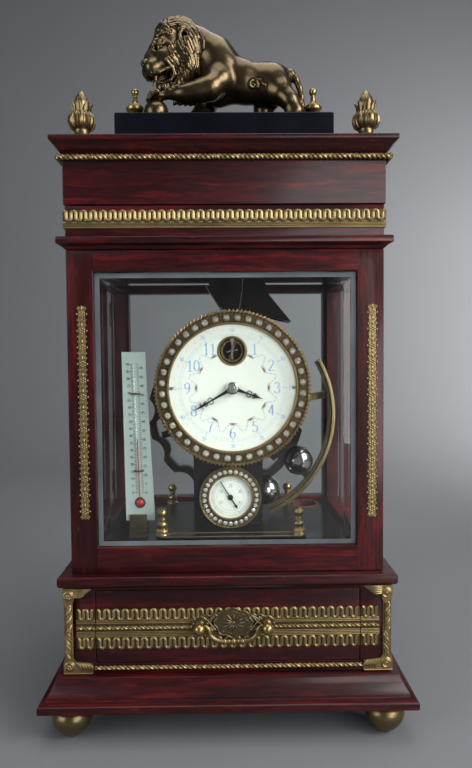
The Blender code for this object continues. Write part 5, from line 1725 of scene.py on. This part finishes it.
def shape_fur(clay):
    """Curl at the flank and the scalloped fringe under the foreleg."""
    curl = shifted(coil(5.2, 0.06, -0.4, 0.55), 29.0, 611.5)
    clay.lock(curl, [1.5 - 0.04 * i for i in range(15)], -1, 0.8)
    tuft = [(32.0, 616.0), (37.0, 615.2), (41.0, 611.0), (43.0, 606.0)]
    clay.lock(tuft, [1.4, 1.7, 1.4, 0.8], -1, 0.9)
    for i in range(6):
        x, top = -20.0 - 5.4 * i, 595.6 + 0.3 * i
        fringe = [(x, -19.0, top, 3.4), (x - 1.8, -18.5, top - 3.8, 2.7)]
        clay.limb(fringe + [(x - 3.6, -18.0, top - 6.0, 1.2)], 0.8)


def build_lion():
    low, high = box_of("lion")
    margin = Vector((1.5, 3.0, 1.5))
    clay = Clay(low - margin, high + margin, LION_STEP)
    shape_body(clay)
    shape_head(clay)
    clay.skin = clay.field.copy()
    shape_mane(clay)
    shape_fur(clay)
    shape_face(clay)
    foot = low.z + 0.05 - clay.axes[2]
    clay.field = np.maximum(clay.field, foot[None, None, :])
    clay.field[[0, -1]] = clay.field[:, [0, -1]] = clay.field[:, :, [0, -1]] = 5.0
    verts, quads = clay.mesh()
    verts = relaxed(verts, quads, 2, 0.35)
    verts[:, 2] = np.clip(verts[:, 2], low.z, high.z)
    mesh = bpy.data.meshes.new("lion_skin")
    mesh.from_pydata(verts.tolist(), [], quads.tolist())
    bm = bmesh.new()
    bm.from_mesh(mesh)
    bpy.data.meshes.remove(mesh)
    piece("lion_figure", bm, BRONZE, "lid", "bronze", ("lion",), 180.0)


# ---- stage ---------------------------------------------------------------------------------------
CASE_MIDDLE = (0.0, 0.0, 0.35)
LAMPS = (
    ("key_right", (1.35, -0.95, 1.15), CASE_MIDDLE, (0.9, 1.2), 38.0),
    ("fill_left", (-1.5, -1.1, 0.75), CASE_MIDDLE, (1.0, 1.2), 14.5, (0.93, 0.96, 1.0)),
    ("front_right", (0.95, -1.75, 0.42), CASE_MIDDLE, (0.8, 1.3), 16.5),
    ("top_soft", (0.1, -0.1, 1.9), CASE_MIDDLE, (1.6, 1.2), 20.0),
    ("backdrop_wash", (1.5, 0.9, 0.6), (1.15, 2.0, 0.35), (0.8, 0.8), 33.0),
)


def add_light(name, place, target, size, power, colour=(1.0, 1.0, 1.0)):
    """Soft square lamp at a place in metres, aimed at a target."""
    data = bpy.data.lights.new(name, "AREA")
    data.shape = "RECTANGLE"
    data.size, data.size_y = size
    data.energy = power
    data.color = colour
    lamp = bpy.data.objects.new(name, data)
    lamp.location = place
    lamp.rotation_euler = (Vector(target) - Vector(place)).to_track_quat("-Z", "Y").to_euler()
    bpy.context.scene.collection.objects.link(lamp)


def build_stage():
    """Pale floor sweeping up into a backdrop, soft lamps and a dim even world."""
    bm = bmesh.new()
    profile = [(-3.0, 0.0), (1.2, 0.0)]
    for i in range(1, 17):
        angle = math.radians(90.0 * i / 16)
        profile.append((1.2 + 0.8 * math.sin(angle), 0.8 - 0.8 * math.cos(angle)))
    profile.append((2.0, 4.0))
    rows = [[bm.verts.new((x, y, z)) for y, z in profile] for x in (-3.5, 3.5)]
    for i in range(len(profile) - 1):
        bm.faces.new((rows[0][i], rows[0][i + 1], rows[1][i + 1], rows[1][i]))
    bmesh.ops.recalc_face_normals(bm, faces=bm.faces)
    mesh = bpy.data.meshes.new("backdrop")
    bm.to_mesh(mesh)
    bm.free()
    mesh.shade_smooth()
    mesh.materials.append(plain("backdrop_paper", (0.155, 0.160, 0.168), 0.8, 0.0, 0.02, 2.0))
    backdrop = bpy.data.objects.new("backdrop", mesh)
    bpy.context.scene.collection.objects.link(backdrop)

    for lamp in LAMPS:
        add_light(*lamp)

    world = bpy.data.worlds.new("studio")
    world.use_nodes = True
    background = world.node_tree.nodes["Background"]
    background.inputs["Color"].default_value = (0.80, 0.86, 0.95, 1.0)
    background.inputs["Strength"].default_value = 0.12
    bpy.context.scene.world = world


def build_camera():
    data = bpy.data.cameras.new("camera")
    data.lens = CAMERA_LENS
    data.clip_start = 0.01
    camera = bpy.data.objects.new("camera", data)
    yaw, pitch, roll = CAMERA_TURN
    level = Vector((math.cos(yaw), math.sin(yaw), 0.0))
    ahead = Vector((-math.sin(yaw), math.cos(yaw), 0.0))
    forward = ahead * math.cos(pitch) + Vector((0.0, 0.0, -math.sin(pitch)))
    above = ahead * math.sin(pitch) + Vector((0.0, 0.0, math.cos(pitch)))
    across = level * math.cos(roll) - above * math.sin(roll)
    upward = level * math.sin(roll) + above * math.cos(roll)
    axes = Matrix((across, upward, -forward)).transposed()
    camera.matrix_world = Matrix.Translation(CAMERA_PLACE) @ axes.to_4x4()
    bpy.context.scene.collection.objects.link(camera)
    bpy.context.scene.camera = camera


for build in (
    build_wood, build_carried, build_frieze_band, build_drawer_bands, build_ropes,
    build_stile_strips, build_corner_mounts, build_pull, build_feet, build_bell_finials,
    build_pinecones, build_main_bezel, build_main_dial, build_balance_bridge, build_hands,
    build_barometer, build_thermometer, build_guard_rail, build_platform, build_floor_panel,
    build_balls, build_glass_bevels, build_wire, build_hardware, build_lion, build_stage,
    build_camera,
):
    build()
bpy.context.scene.view_settings.view_transform = "Standard"

bpy.context.view_layer.update()
